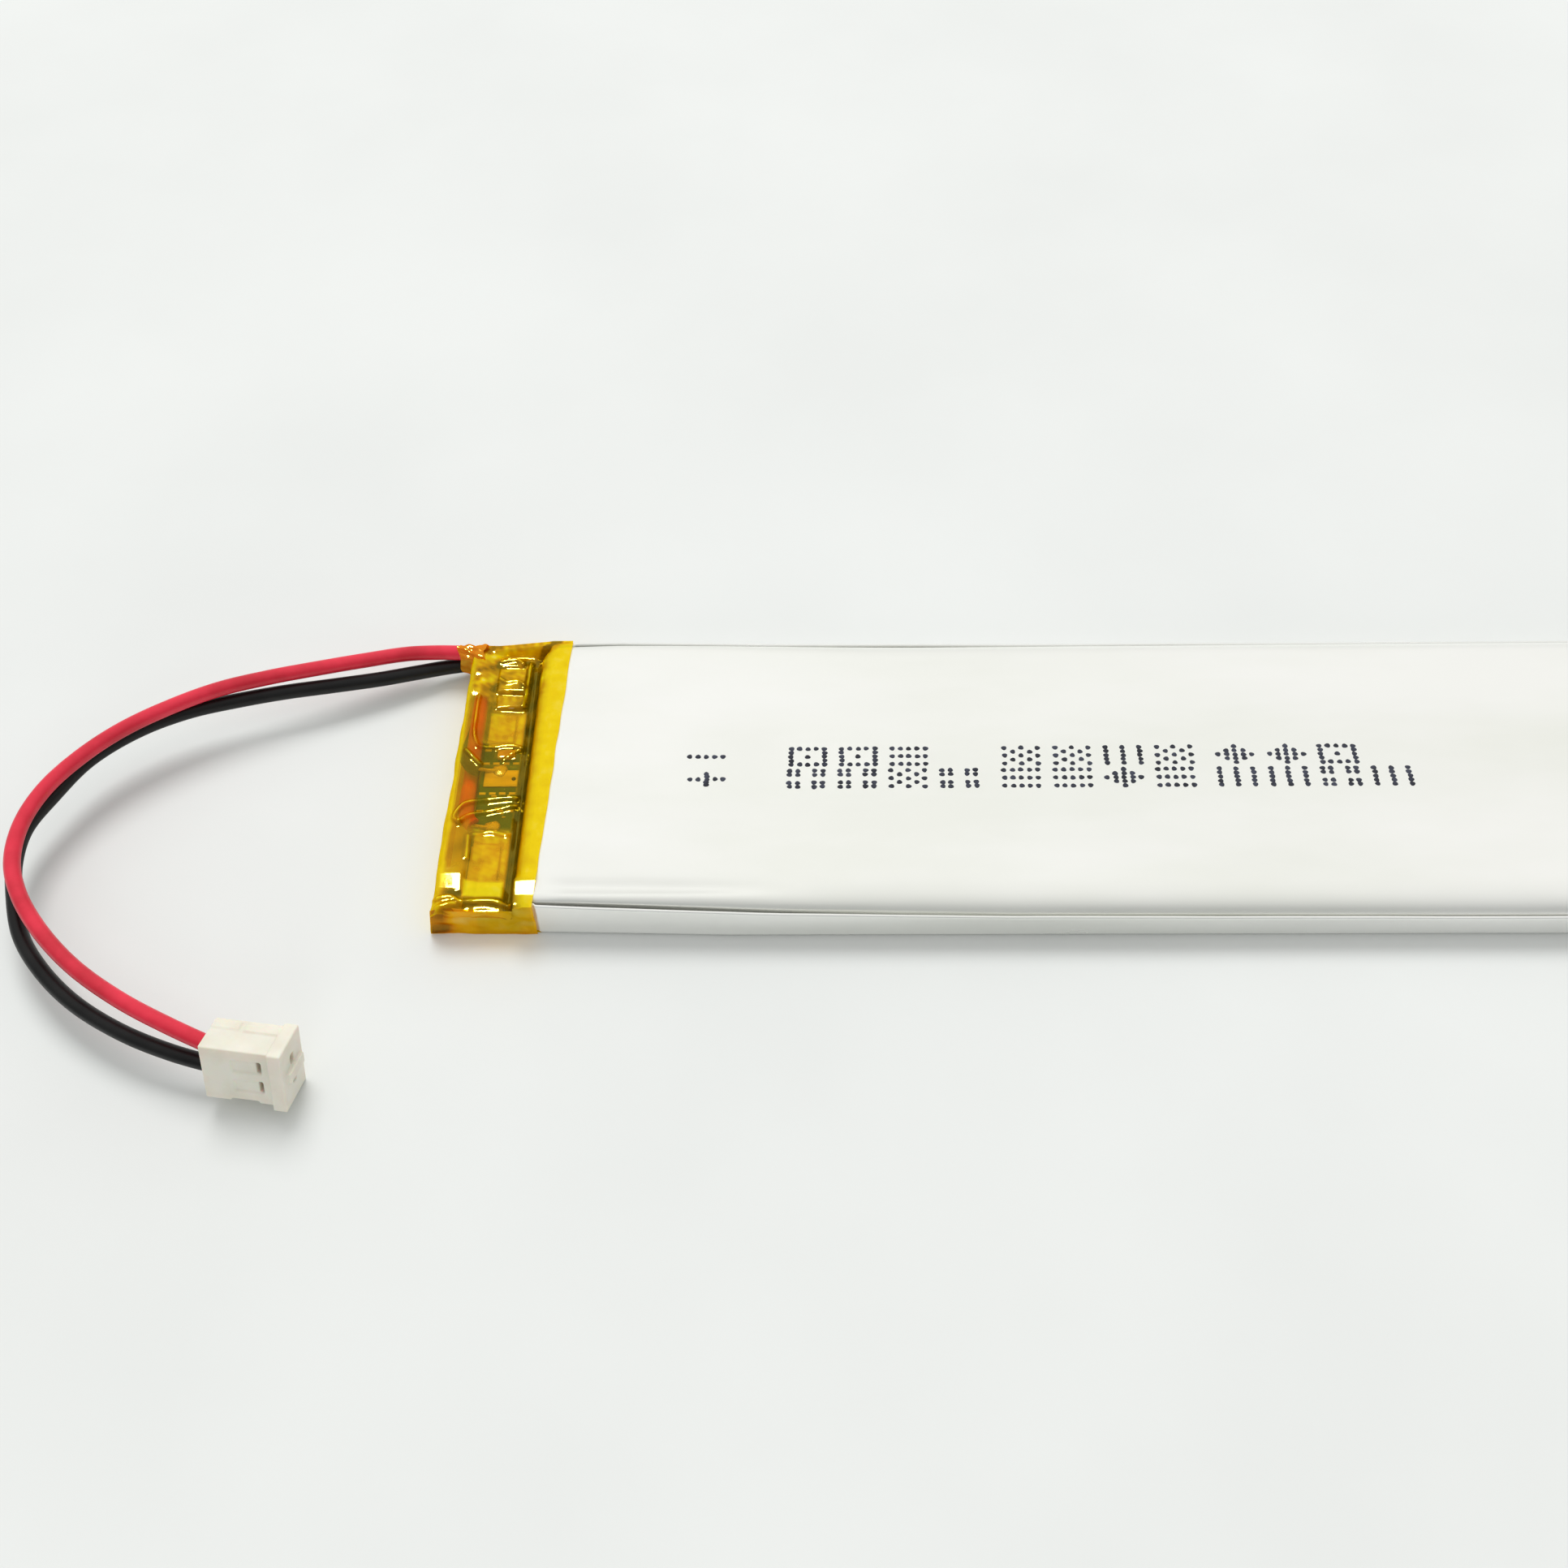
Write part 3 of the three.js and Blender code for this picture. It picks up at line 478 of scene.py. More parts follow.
def make_housing():
    """Moulded two-way plug: x from the leads to the mating end, y across the ways."""
    length, h, t = PLUG_LENGTH, PLUG_HALF_WIDTH, PLUG_HALF_HEIGHT
    base = bare_box((0, length), (-h, h), (-t, t))
    adds = [  # mating rim, two side ribs, middle key, catch
        ((length - 1.15, length), (-h - 0.2, h + 0.25), (-t - 0.35, t + 0.1)),
        ((length - 4, length - 0.8), (-h - 0.14, h + 0.14), (t - 1.3, t - 0.6)),
        ((0.1, 2.3), (-h - 0.1, h + 0.1), (t - 1.2, t - 0.3)),
        ((length - 0.3, length + 0.35), (-0.5, 0.5), (-t + 0.4, t - 0.4)),
        ((3.1, 4.3), (h - 0.3, h + 0.22), (-t + 0.2, -t + 1.2)),
    ]
    for item in adds:
        boolean(base, bare_box(*item), "UNION")
    cuts = []  # for each way: lead opening, mating slot, window, window's deep end
    for y in WAYS:
        cuts.append(((-1, 2.4), (y - 0.78, y + 0.78), (-0.85, 0.85)))
        cuts.append(((6.15, length + 1), (y - 0.42, y + 0.42), (-0.34, 0.34)))
        cuts.append(((2.5, 4.95), (y - 0.66, y + 0.58), (-t - 1, -t + 0.13)))
        cuts.append(((4.55, 4.95), (y - 0.62, y + 0.5), (-t - 1, 0.2)))
    cuts.append(((2.1, 4.4), (h - 0.2, h + 1), (-t - 1, -t + 0.8)))
    for item in cuts:
        boolean(base, bare_box(*item), "DIFFERENCE")
    soft = base.modifiers.new("soft", "REMESH")
    soft.mode = "VOXEL"
    soft.voxel_size = 0.075
    even = base.modifiers.new("even", "SMOOTH")
    even.factor = 0.5
    even.iterations = 4
    with bpy.context.temp_override(object=base, active_object=base):
        bpy.ops.object.modifier_apply(modifier="soft")
        bpy.ops.object.modifier_apply(modifier="even")
    base.data.transform(Matrix.Scale(MM, 4) @ PLUG_POSE)
    base.data.polygons.foreach_set("use_smooth", [True] * len(base.data.polygons))
    base.data.materials.append(PLUG_WHITE)
    base.name = base.data.name = "plug_housing"
    return attach(base, ["connector_housing"])


housing = make_housing()


def contact(name, side, nodes):
    """Folded socket, seen through the housing's windows."""
    obj = slab(name, (2.9, 5.95), (side - 0.5, side + 0.5), (-0.55, 0.55), CONTACT, 0.12)
    obj.data.transform(Matrix.Scale(MM, 4) @ PLUG_POSE @ Matrix.Scale(1 / MM, 4))
    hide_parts(*nodes)
    return obj


contacts = [
    contact("contact_red", WAYS[0], ["terminal_positive"]),
    contact("contact_black", WAYS[1], ["terminal_negative"]),
]


# ---- pouch -------------------------------------------------------------------------------------
CUP_X, TAIL = -73.2, 79.7  # where the cup begins and ends
CELL_TOP, FLANGE = 4.0, 0.36  # heights of the flat top and of the cup's foot
HEAD_ROUND, TAIL_ROUND, CORNER = 1.5, 1.7, 2.2  # radii of the cup's end edges and upright corners
END_REACH = 2.3  # length of each end that has more rings
WALL_TOP = 3.6  # height that NEAR_TOP is for
# Tables of places along the cell and values: how far out the sides lie at their top and at their
# foot, how high the folded seals stand, and how wide the gap between seal and cup is.
NEAR_TOP = ([-81, -71, -65.5, -50, -31, 8, 80], [14.0, 14.12, 14.3, 14.66, 14.88, 14.96, 14.96])
NEAR_FOOT = ([-81, -71, -55, 80], [14.5, 14.5, 14.86, 14.96])
FAR_WALL = ([-81, -70.3, -66, 80], [14.86, 14.88, 15.0, 15.0])
WING_TOP = (
    [-81, -72, -66, -52, -30, 10, 76, 78.5, 79.4],
    [3.5, 3.78, 3.62, 3.24, 2.96, 2.8, 2.8, 2.4, 1.4],
)
SEAM = ([-81, -66, -45, -25, 80], [0.24, 0.26, 0.18, 0.08, 0.05])
SEAL_T, SEAL_BEND = 0.3, 0.42  # thickness of a folded seal and radius of its bend


def near_wall(x, z):
    """How far the near side lies from the cell's middle line."""
    share = np.clip(z / WALL_TOP, 0, 1)
    return np.interp(x, *NEAR_FOOT) * (1 - share) + np.interp(x, *NEAR_TOP) * share


TAPE_SPAN = 29.2  # width across the cell, over which the tape's edges slant


def tape_back(y):
    """Where the tape's back edge lies."""
    return -71.27 + 0.98 * ((y + TAPE_SPAN / 2) / TAPE_SPAN) + 0.035 * waves(y, 0 * y, 2.5, 31)


def cup_height(x):
    """Height of the cup's top along the cell, rounded down at both ends."""
    height = CELL_TOP
    for inside, radius in ((x - CUP_X, HEAD_ROUND), (TAIL - x, TAIL_ROUND)):
        share = np.clip(inside / radius, 0, 1)
        height = height - radius * (1 - np.sqrt(np.clip(1 - (1 - share) ** 2, 0, 1)))
    return height


def foil_relief(x, y):
    """Handling marks of the top face."""
    z = 0.012 * waves(x * 0.4, y, 7, 1) + 0.004 * waves(x, y, 2.4, 2)
    near_fold = ease(x, -71.3, -68) * (1 - ease(x, -60, -46))
    z = z - 0.24 * near_fold * hump(y, -12.1 - 0.02 * (x + 70), 0.62)
    z = z + 0.1 * near_fold * hump(y, -13.15, 0.42)
    far_fold = ease(x, -70.6, -69.2) * (1 - ease(x, -67, -62))
    z = z - 0.07 * far_fold * hump(y - 0.35 * (x + 70), 11.6, 0.7)
    z = z + 0.03 * far_fold * hump(y - 0.25 * (x + 70), 12.8, 0.6)
    rng = np.random.RandomState(7)
    for _ in range(40):
        cx, cy = rng.uniform(-69, 76), rng.uniform(-12, 12)
        wide, tall, deep = rng.uniform(0.3, 1.0), rng.uniform(0.3, 0.6), rng.uniform(-0.026, 0.018)
        z = z + deep * hump(x, cx, wide) * hump(y, cy, tall)
    return z


def half_section(x, edge, into, side):
    """Foot, wall and shoulder of the cup on one side, out to edge from the middle line."""
    top = float(cup_height(x))
    half = edge - (CORNER - math.sqrt(max(CORNER**2 - (CORNER - into) ** 2, 0)))
    grown = float(ease(x, -68, -36))
    more_wide, more_tall = (2.1, 1.15) if side < 0 else (1.1, 0.85)
    wide = 0.85 + more_wide * grown
    tall = min(0.4 + more_tall * grown, top - 0.6)
    arc = np.linspace(0, np.pi / 2, 14)
    y = np.concatenate([[half + 0.02, half + 0.01], half - wide * (1 - np.cos(arc))])
    z = np.concatenate([[FLANGE, 0.9], top - tall + tall * np.sin(arc)])
    return y, z, top


def make_cup():
    ends = 1 - np.cos(np.linspace(0, np.pi / 2, 14))
    xs = np.concatenate([
        CUP_X + END_REACH * ends, np.arange(-70.6, -50, 0.35), np.arange(-50, 76.9, 0.8),
        TAIL - END_REACH * ends[::-1],
    ])
    rings = []
    for x in xs:
        into = min(x - CUP_X, TAIL - x, CORNER)
        seam = float(np.interp(x, *SEAM)) + SEAL_T
        near_y, near_z, top = half_section(x, float(np.interp(x, *NEAR_TOP)) - seam, into, -1)
        far_y, far_z, _ = half_section(x, float(np.interp(x, *FAR_WALL)) - SEAL_T - 0.2, into, 1)
        flat = np.linspace(far_y[-1], -near_y[-1], 96)[1:-1]
        y = np.concatenate([far_y, flat, -near_y[::-1]])
        z = np.concatenate([far_z, np.full(len(flat), top), near_z[::-1]])
        above = np.clip((z - 2.6) / 1.2, 0, 1)
        rings.append(np.stack([np.full(len(y), x), y, z + above * foil_relief(x, y)], 1))
    first, last = np.array(rings[0]), np.array(rings[-1])
    for end in (first, last):
        end[:, 2] = FLANGE
    return sheets("drawn_cup", [np.array([first, *rings, last])], FOIL, nodes=["pouch_cup"])


def seal_wall(side, x, top, foot, lean):
    """One folded seal in section: foot is how far out its bottom lies, lean its top."""
    r = SEAL_BEND
    under = float(tape_back(np.array([side * 14.5]))[0]) + 0.15
    tuck = 0.16 * (1 - float(ease(x, under - 0.1, under + 0.1)))
    sway = 0.03 * float(waves(np.array(x), 0.0, 9, 23 + side))
    outer = [(foot - r + r * math.cos(a), r + r * math.sin(a)) for a in np.linspace(-np.pi / 2, 0, 7)]
    for z in np.linspace(0.6, top - 0.15, 9):
        outer.append((foot + (lean - foot) * z / WALL_TOP + sway * math.sin(z), z))
    y_top = outer[-1][0]
    half = SEAL_T / 2
    for a in np.linspace(0.2, np.pi - 0.2, 7):
        outer.append((y_top - half + half * math.cos(a), top - 0.15 + 0.15 * math.sin(a)))
    outer += [(y_top - SEAL_T, top - 0.2), (foot - SEAL_T - 0.05, 0.5), (foot - SEAL_T - 0.3, 0.24)]
    return [(x, side * (y - tuck), z) for y, z in outer]


def wing_loop(x):
    """One cross-section of the flat cover and its two folded seals."""
    level, near_foot, near_top, far_y = (
        float(np.interp(x, *table)) for table in (WING_TOP, NEAR_FOOT, NEAR_TOP, FAR_WALL)
    )
    near_end, far_end = (level + 0.02 * float(waves(np.array(x), 0.0, 7, seed)) for seed in (21, 22))
    near = seal_wall(-1, x, near_end, near_foot, near_top)
    far = seal_wall(1, x, far_end, far_y, far_y)
    return near + far[::-1]


def make_cover():
    xs = np.concatenate([
        np.arange(-71.6, -69.6, 0.1), np.arange(-69.5, -50, 0.5), np.arange(-50, 79.0, 1.0), [79.2, 79.4],
    ])
    verts, faces = loft([wing_loop(float(x)) for x in xs])
    return mesh_object("cover_and_folded_seals", verts, faces, FOIL_SIDE, nodes=["pouch_cover"])


make_cup()
make_cover()
slab("tail_lip", (78.6, 80), (-14.8, 14.8), (0.01, 0.4), FOIL_SIDE, 0.08, 0.02)


# ---- printed marks -----------------------------------------------------------------------------
BLOCKS = [  # abstract dot patterns: frame, bars, rows, four squares, diamond, chequers
    ("11111", "10001", "10101", "10001", "11111"),
    ("10101", "10101", "10101", "10101", "10101"),
    ("11111", "00000", "11111", "00000", "11111"),
    ("11011", "11011", "00000", "11011", "11011"),
    ("00100", "01110", "11111", "01110", "00100"),
    ("10101", "01010", "10101", "01010", "10101"),
]
DOT_X, DOT_Y = 0.74, 0.43  # from dot to dot
DOT_WIDE, DOT_TALL, DOT_SIDES = 0.25, 0.225, 12  # half sizes
MINUS_X, MINUS_Y, PLUS_X, PLUS_Y = -58.6, 1.25, -58.5, -1.2
BLOCK_STEP, ROW_TOPS = 4.5, (2.05, -0.35)
GROUPS = ((-49.7, 3, 4), (-30.75, 4, 4), (-11.9, 3, 4))  # first x, blocks in the upper and lower row


def dot_positions():
    """A minus, a plus, then the block groups."""
    dots = [(MINUS_X + DOT_X * i, MINUS_Y) for i in range(5)]
    dots += [(PLUS_X + DOT_X * i, PLUS_Y) for i in range(5)]
    dots += [(PLUS_X + DOT_X * 2, PLUS_Y + dy) for dy in (-0.6, -0.3, 0.3, 0.6)]
    for group, (start, *counts) in enumerate(GROUPS):
        for row, (count, y0) in enumerate(zip(counts, ROW_TOPS)):
            for k in range(count):
                block = BLOCKS[(group * 5 + row * 3 + k * 5 + k * k) % len(BLOCKS)]
                x0 = start + BLOCK_STEP * k + 0.15 * (row == 0)
                dots += [
                    (x0 + c * DOT_X, y0 - r * DOT_Y)
                    for r, line in enumerate(block) for c, on in enumerate(line) if on == "1"
                ]
    return dots


def make_marks():
    rng = np.random.RandomState(5)
    verts, faces = [], []
    for x, y in dot_positions():
        x, y = x + rng.uniform(-0.04, 0.04), y + rng.uniform(-0.03, 0.03)
        rx, ry = DOT_WIDE * rng.uniform(0.92, 1.08), DOT_TALL * rng.uniform(0.94, 1.1)
        start = len(verts)
        edge_z = CELL_TOP + foil_relief(x, y)
        verts.append((x, y, edge_z + 0.022))
        for scale, lift in ((0.7, 0.02), (1.0, 0.004)):
            for a in np.linspace(0, 2 * np.pi, DOT_SIDES, endpoint=False):
                wob = scale * (1 + 0.08 * math.sin(3 * a + x * 7))
                verts.append((x + rx * wob * math.cos(a), y + ry * wob * math.sin(a), edge_z + lift))
        inner, outer = start + 1, start + 1 + DOT_SIDES
        for i in range(DOT_SIDES):
            j = (i + 1) % DOT_SIDES
            faces.append((start, inner + i, inner + j))
            faces.append((inner + i, outer + i, outer + j, inner + j))
    return mesh_object("printed_dots", verts, faces, INK)


make_marks()


# ---- board under the tape ----------------------------------------------------------------------
BOARD_TOP, TAB_TOP, LEG_FOOT, SOLDER_FOOT = 2.1, 2.46, 2.13, 2.12  # heights
SOLDER_X, HOLE_X, HOLE_Y, HOLE_R = -75.95, -74.6, 0.2, 0.2
PART_BEVEL, NICKEL_RELIEF, PART_RELIEF = 0.06, 0.03, 0.015
SOLDER_SPOTS = (  # name, y, CAD node
    ("solder_red", -5.0, "solder_joint_positive"),
    ("solder_black", 1.15, "solder_joint_negative"),
)
WELDS = ((-76.8, -8.9), (-75.3, -9.0), (-76.6, 5.9), (-75.6, 5.6))
LEGS = (  # name, count, first y, step, half width, x, top, bevel
    ("mosfet_leg", 4, 9.85, 0.72, 0.13, (-77.45, -74.15), 2.42, 0.07),
    ("protection_leg", 3, 7.95, 0.48, 0.1, (-77.25, -74.2), 2.36, 0.06),
)
PARTS = [  # name, x, y, z, material, CAD nodes
    ("far_capacitor", (-76.9, -74.9), (12.75, 13.65), (2.12, 2.75), CERAMIC, ["capacitor_far"]),
    ("mosfet_package", (-77.0, -74.5), (9.5, 12.3), (2.2, 3.0), PACKAGE, ["mosfet"]),
    ("protection_package", (-76.9, -74.5), (7.75, 9.1), (2.2, 2.9), PACKAGE, ["protection_ic"]),
    ("nickel_strip_far", (-77.3, -74.15), (3.75, 7.6), (2.12, 2.3), NICKEL, ["nickel_strip_positive"]),
    ("middle_resistor", (-76.3, -74.7), (2.4, 3.2), (2.12, 2.62), CERAMIC, ["resistor_middle"]),
    ("output_pad_plate", (-77.3, -74.2), (-0.6, 1.2), (2.12, 2.24), NICKEL, ["output_pad"]),
    ("nickel_strip_near", (-77.4, -74.1), (-11.3, -5.6), (2.12, 2.26), NICKEL, ["nickel_strip_negative"]),
    ("folded_tab_near", (-77.5, -74.9), (-10.85, -7.15), (2.28, 2.46), NICKEL, ["negative_tab"]),
    ("folded_tab_far", (-77.4, -75.0), (4.1, 7.2), (2.32, 2.48), NICKEL, ["positive_tab"]),
]


def weld(name, x, y, z, height, radius=0.3, material=NICKEL, nodes=()):
    """Low round mound with an uneven rim."""
    rings = []
    for angle in np.linspace(0, 1, 7) * math.pi / 2:
        r = radius * math.cos(angle) + 0.01
        ring = []
        for a in np.linspace(0, 2 * np.pi, 20, endpoint=False):
            wob = 1 + 0.1 * math.sin(3 * a + x) + 0.05 * math.sin(5 * a + y)
            ring.append((
                x + r * wob * math.cos(a), y + r * wob * math.sin(a), z + height * math.sin(angle),
            ))
        rings.append(ring)
    verts, faces = loft(rings)
    return mesh_object(name, verts, faces, material, nodes=nodes)


def make_board():
    slab("board_plate", (-77.7, -74.1), (-13.6, 14.0), (1.5, BOARD_TOP), BOARD, 0.1,
         nodes=["circuit_board"])
    rng = np.random.RandomState(11)
    verts, faces = [], []
    pads = [(-77.3 + 0.9 * i, y, 0.3, 0.14) for i in range(4) for y in (-1.3, -3.2, 2.0, 3.5)]
    for _ in range(12):
        pads.append((rng.uniform(-77.3, -74.6), rng.uniform(-5.4, -0.9), rng.uniform(0.1, 0.3), 0.07))
    for x, y, half_x, half_y in pads:
        start = len(verts)
        for across, along, lift in ((1, 1, 0.002), (0.8, 0.7, 0.05)):
            a, b = across * half_x, along * half_y
            verts += [(x + dx, y + dy, BOARD_TOP + lift) for dx, dy in ((-a, -b), (a, -b), (a, b), (-a, b))]
        faces.append(tuple(start + 4 + i for i in range(4)))
        faces += [(start + i, start + (i + 1) % 4, start + 4 + (i + 1) % 4, start + 4 + i) for i in range(4)]
    mesh_object("board_pads", verts, faces, PADS, smooth=False)


def make_parts():
    for name, x, y, z, material, nodes in PARTS:
        relief = NICKEL_RELIEF if material is NICKEL else PART_RELIEF
        slab(name, x, y, z, material, PART_BEVEL, relief, nodes)
    for k, (x, y) in enumerate(WELDS):
        weld(f"weld_spot_{k + 1}", x, y, TAB_TOP, height=0.1)
    for name, count, first, step, half, x, top, bevel in LEGS:
        for k in range(count):
            y = first + step * k
            slab(f"{name}_{k + 1}", x, (y - half, y + half), (LEG_FOOT, top), SOLDER, bevel)
    for name, y, stands_for in SOLDER_SPOTS:
        weld(name, SOLDER_X, y, SOLDER_FOOT, height=0.36, radius=0.7, material=SOLDER, nodes=[stands_for])
    # a dark disc at the pad's hole stands for the hole's shade: painted shade
    turns = np.linspace(0, 2 * np.pi, 16, endpoint=False)
    rim = [(HOLE_X + HOLE_R * math.cos(a), HOLE_Y + HOLE_R * math.sin(a)) for a in turns]
    verts, faces = loft([[(x, y, z) for x, y in rim] for z in (2.2, 2.26)])
    mesh_object("pad_hole", verts, faces, DARK_LAYER_AND_HOLE_SHADE)


make_board()
make_parts()
slab("insulating_paper", (-77.4, -73.55), (-13.6, 13.6), (0.66, 0.8), OLIVE_PAPER, 0.03,
     nodes=["insulation_paper"])
slab("tape_liner", (-79.7, -77.6), (-14.1, 14.0), (0.1, 0.24), WHITE_PAD, 0.04)
slab("foam_under_board", (-77.2, -74.2), (-13.2, 13.2), (0.82, 1.48), WHITE_PAD, 0.1,
     nodes=["board_pad"])


# ---- tape --------------------------------------------------------------------------------------
def front_top(y):
    """Where the tape's front edge turns down."""
    return -79.85 + 0.4 * (y / TAPE_SPAN)


def front_foot(y):
    """Where the tape's front meets the table."""
    return -80.3 + 0.5 * (y / TAPE_SPAN)


OFF_TABLE = 0.02  # the tape's lowest edges stay this far up
DRAPE = (  # x along the cell, height of the tape between front edge and cup
    [-80.6, -79.9, -79.6, -79.1, -78.4, -77.8, -77.2, -76.5, -74.4, -74.0, -73.65, -73.35, -73.1,
     -72.85, -72.5, -72.0, -71.6, -69],
    [3.1, 3.3, 3.5, 3.56, 3.5, 3.2, 2.85, 2.6, 2.52, 2.3, 2.15, 2.4, 3.25, 3.7, 3.95, 4.07, 4.1, 4.1],
)
CREASES = [  # routes of sharp wrinkles over the board, with height and half width
    ([(-74.0, -2.1), (-75.6, -2.3), (-77.2, -2.7), (-78.5, -3.6), (-79.1, -4.9), (-78.6, -5.4)], 0.34, 0.2),
    ([(-78.6, -5.4), (-78.0, -4.6), (-76.9, -3.9), (-75.3, -3.4), (-73.9, -2.9)], 0.32, 0.18),
    ([(-78.45, 8.6), (-78.5, 6.5), (-78.4, 4.2), (-78.0, 3.1)], 0.3, 0.16),
    ([(-77.9, 3.0), (-76.4, 3.4), (-74.9, 3.6), (-74.0, 3.2)], 0.3, 0.18),
    ([(-75.6, 1.9), (-74.8, 2.7), (-74.1, 3.3)], 0.28, 0.16),
    ([(-78.9, 2.4), (-78.3, 1.8), (-77.6, 1.2)], 0.3, 0.22),
    ([(-74.25, 13.2), (-74.3, 10.4), (-74.4, 7.9)], 0.3, 0.17),
    ([(-77.0, 13.2), (-75.6, 13.5), (-74.9, 13.0)], 0.26, 0.18),
    ([(-76.9, 11.0), (-76.2, 10.5), (-75.2, 10.7), (-74.5, 10.2)], 0.22, 0.16),
    ([(-77.3, -6.3), (-76.0, -5.8), (-74.6, -6.1)], 0.16, 0.2),
    ([(-79.4, -13.9), (-77.2, -13.1), (-75.2, -12.9), (-73.4, -13.3)], 0.42, 0.3),
    ([(-79.6, -12.9), (-78.4, -12.7), (-77.4, -13.3)], 0.26, 0.22),
    ([(-77.7, -6.6), (-77.6, -8.8)], 0.2, 0.25),
]
SOFT_EDGE = 0.22  # how softly painted and raised rectangles end
CREASE_LINES = [(spline(route, 4), height, width) for route, height, width in CREASES]


def distance_to(x, y, route):
    """Distance from each point to a line of short straight pieces."""
    best = np.full(np.shape(x), 99.0)
    for (ax, ay), (bx, by) in zip(route, route[1:]):
        wide, tall = bx - ax, by - ay
        along = np.clip(((x - ax) * wide + (y - ay) * tall) / (wide**2 + tall**2), 0, 1)
        best = np.minimum(best, np.hypot(x - ax - along * wide, y - ay - along * tall))
    return best


def inside_by(x, y, span_x, span_y):
    """How far each point lies inside a rectangle, negative outside it."""
    return np.minimum.reduce([x - span_x[0], span_x[1] - x, y - span_y[0], span_y[1] - y])


def soft_rectangle(x, y, span_x, span_y):
    return ease(inside_by(x, y, span_x, span_y), -SOFT_EDGE, SOFT_EDGE * 0.6)


def put(base, value, mask):
    """Moves base towards value where the mask is set."""
    return base + (value - base) * np.clip(mask, 0, 1)


def corner_shift(y):
    """How far the cup's rounded corners draw its front edge back, less so at the near one."""
    radius = 2.0
    past = np.clip(np.abs(y) - 12.6, 0, radius - 0.01)
    return (radius - np.sqrt(radius**2 - past**2)) * np.where(y > 0, 1.0, 0.3)


def tape_height(x, y):
    """Height of the top tape: it drapes from cup to front edge over the parts, with its wrinkles."""
    z = np.interp(x - corner_shift(y) * ease(x, -74.6, -73.8), *DRAPE)
    for _, span_x, span_y, span_z, *_ in PARTS:
        raised = span_z[1] + 0.07
        z = np.where(raised > z, z + (raised - z) * soft_rectangle(x, y, span_x, span_y), z)
    loose = ease(x, -80.4, -79.2) * (1 - ease(x, -73.6, -72.6))
    for _, spot_y, _ in SOLDER_SPOTS:
        z = z + 0.16 * hump(x, -76.0, 0.7) * hump(y, spot_y, 0.8)
    taut = (1 - ease(x, -77.9, -77.4)) * ease(-y, 9.8, 10.3) * (1 - ease(-y, 11.9, 12.3))
    loose = loose * (1 - taut)
    z = z + loose * (0.06 * np.abs(waves(x, y, 2.2, 41)) + 0.012 * np.abs(waves(x, y, 1.2, 42)))
    z = z + loose * ease(y, 7.2, 8.6) * 0.12 * np.abs(waves(x * 0.7, y, 1.5, 44))
    z = z + 0.008 * waves(x, y, 3, 43)
    for line, height, width in CREASE_LINES:
        z = z + height * hump(distance_to(x, y, line), 0, width)
    slope = 0.4 * np.clip((-y - 10.5) / 1.3, 0, 1)
    z = put(z, 3.5, taut * 0.9) - (1 - ease(x, -78.0, -76.8)) * slope
    z = put(z, 4.08, ease(-y, 11.0, 11.8) * ease(x, -73.25, -72.9))
    lifted = ease(-y, 10.4, 11.6) * 0.24 - 0.33 * np.clip((-y - 11.7) / 1.4, 0, 1)
    z = z + lifted * ease(x, -73.3, -72.9)
    z = z - ease(np.abs(y), 13.7, 14.6) * np.where(x > -73.4, 0.25, 0.4)
    far_lip = np.interp(x, [-79.8, -76, -72], [3.1, 3.5, 4.0])
    z = z + np.maximum(far_lip - z, 0) * ease(y, 13.9, 14.4)
    over_seal = ease(np.abs(y), 13.6, 14.1) * ease(x, -72.6, -72.0)
    return z + np.maximum(4.02 - z, 0) * over_seal


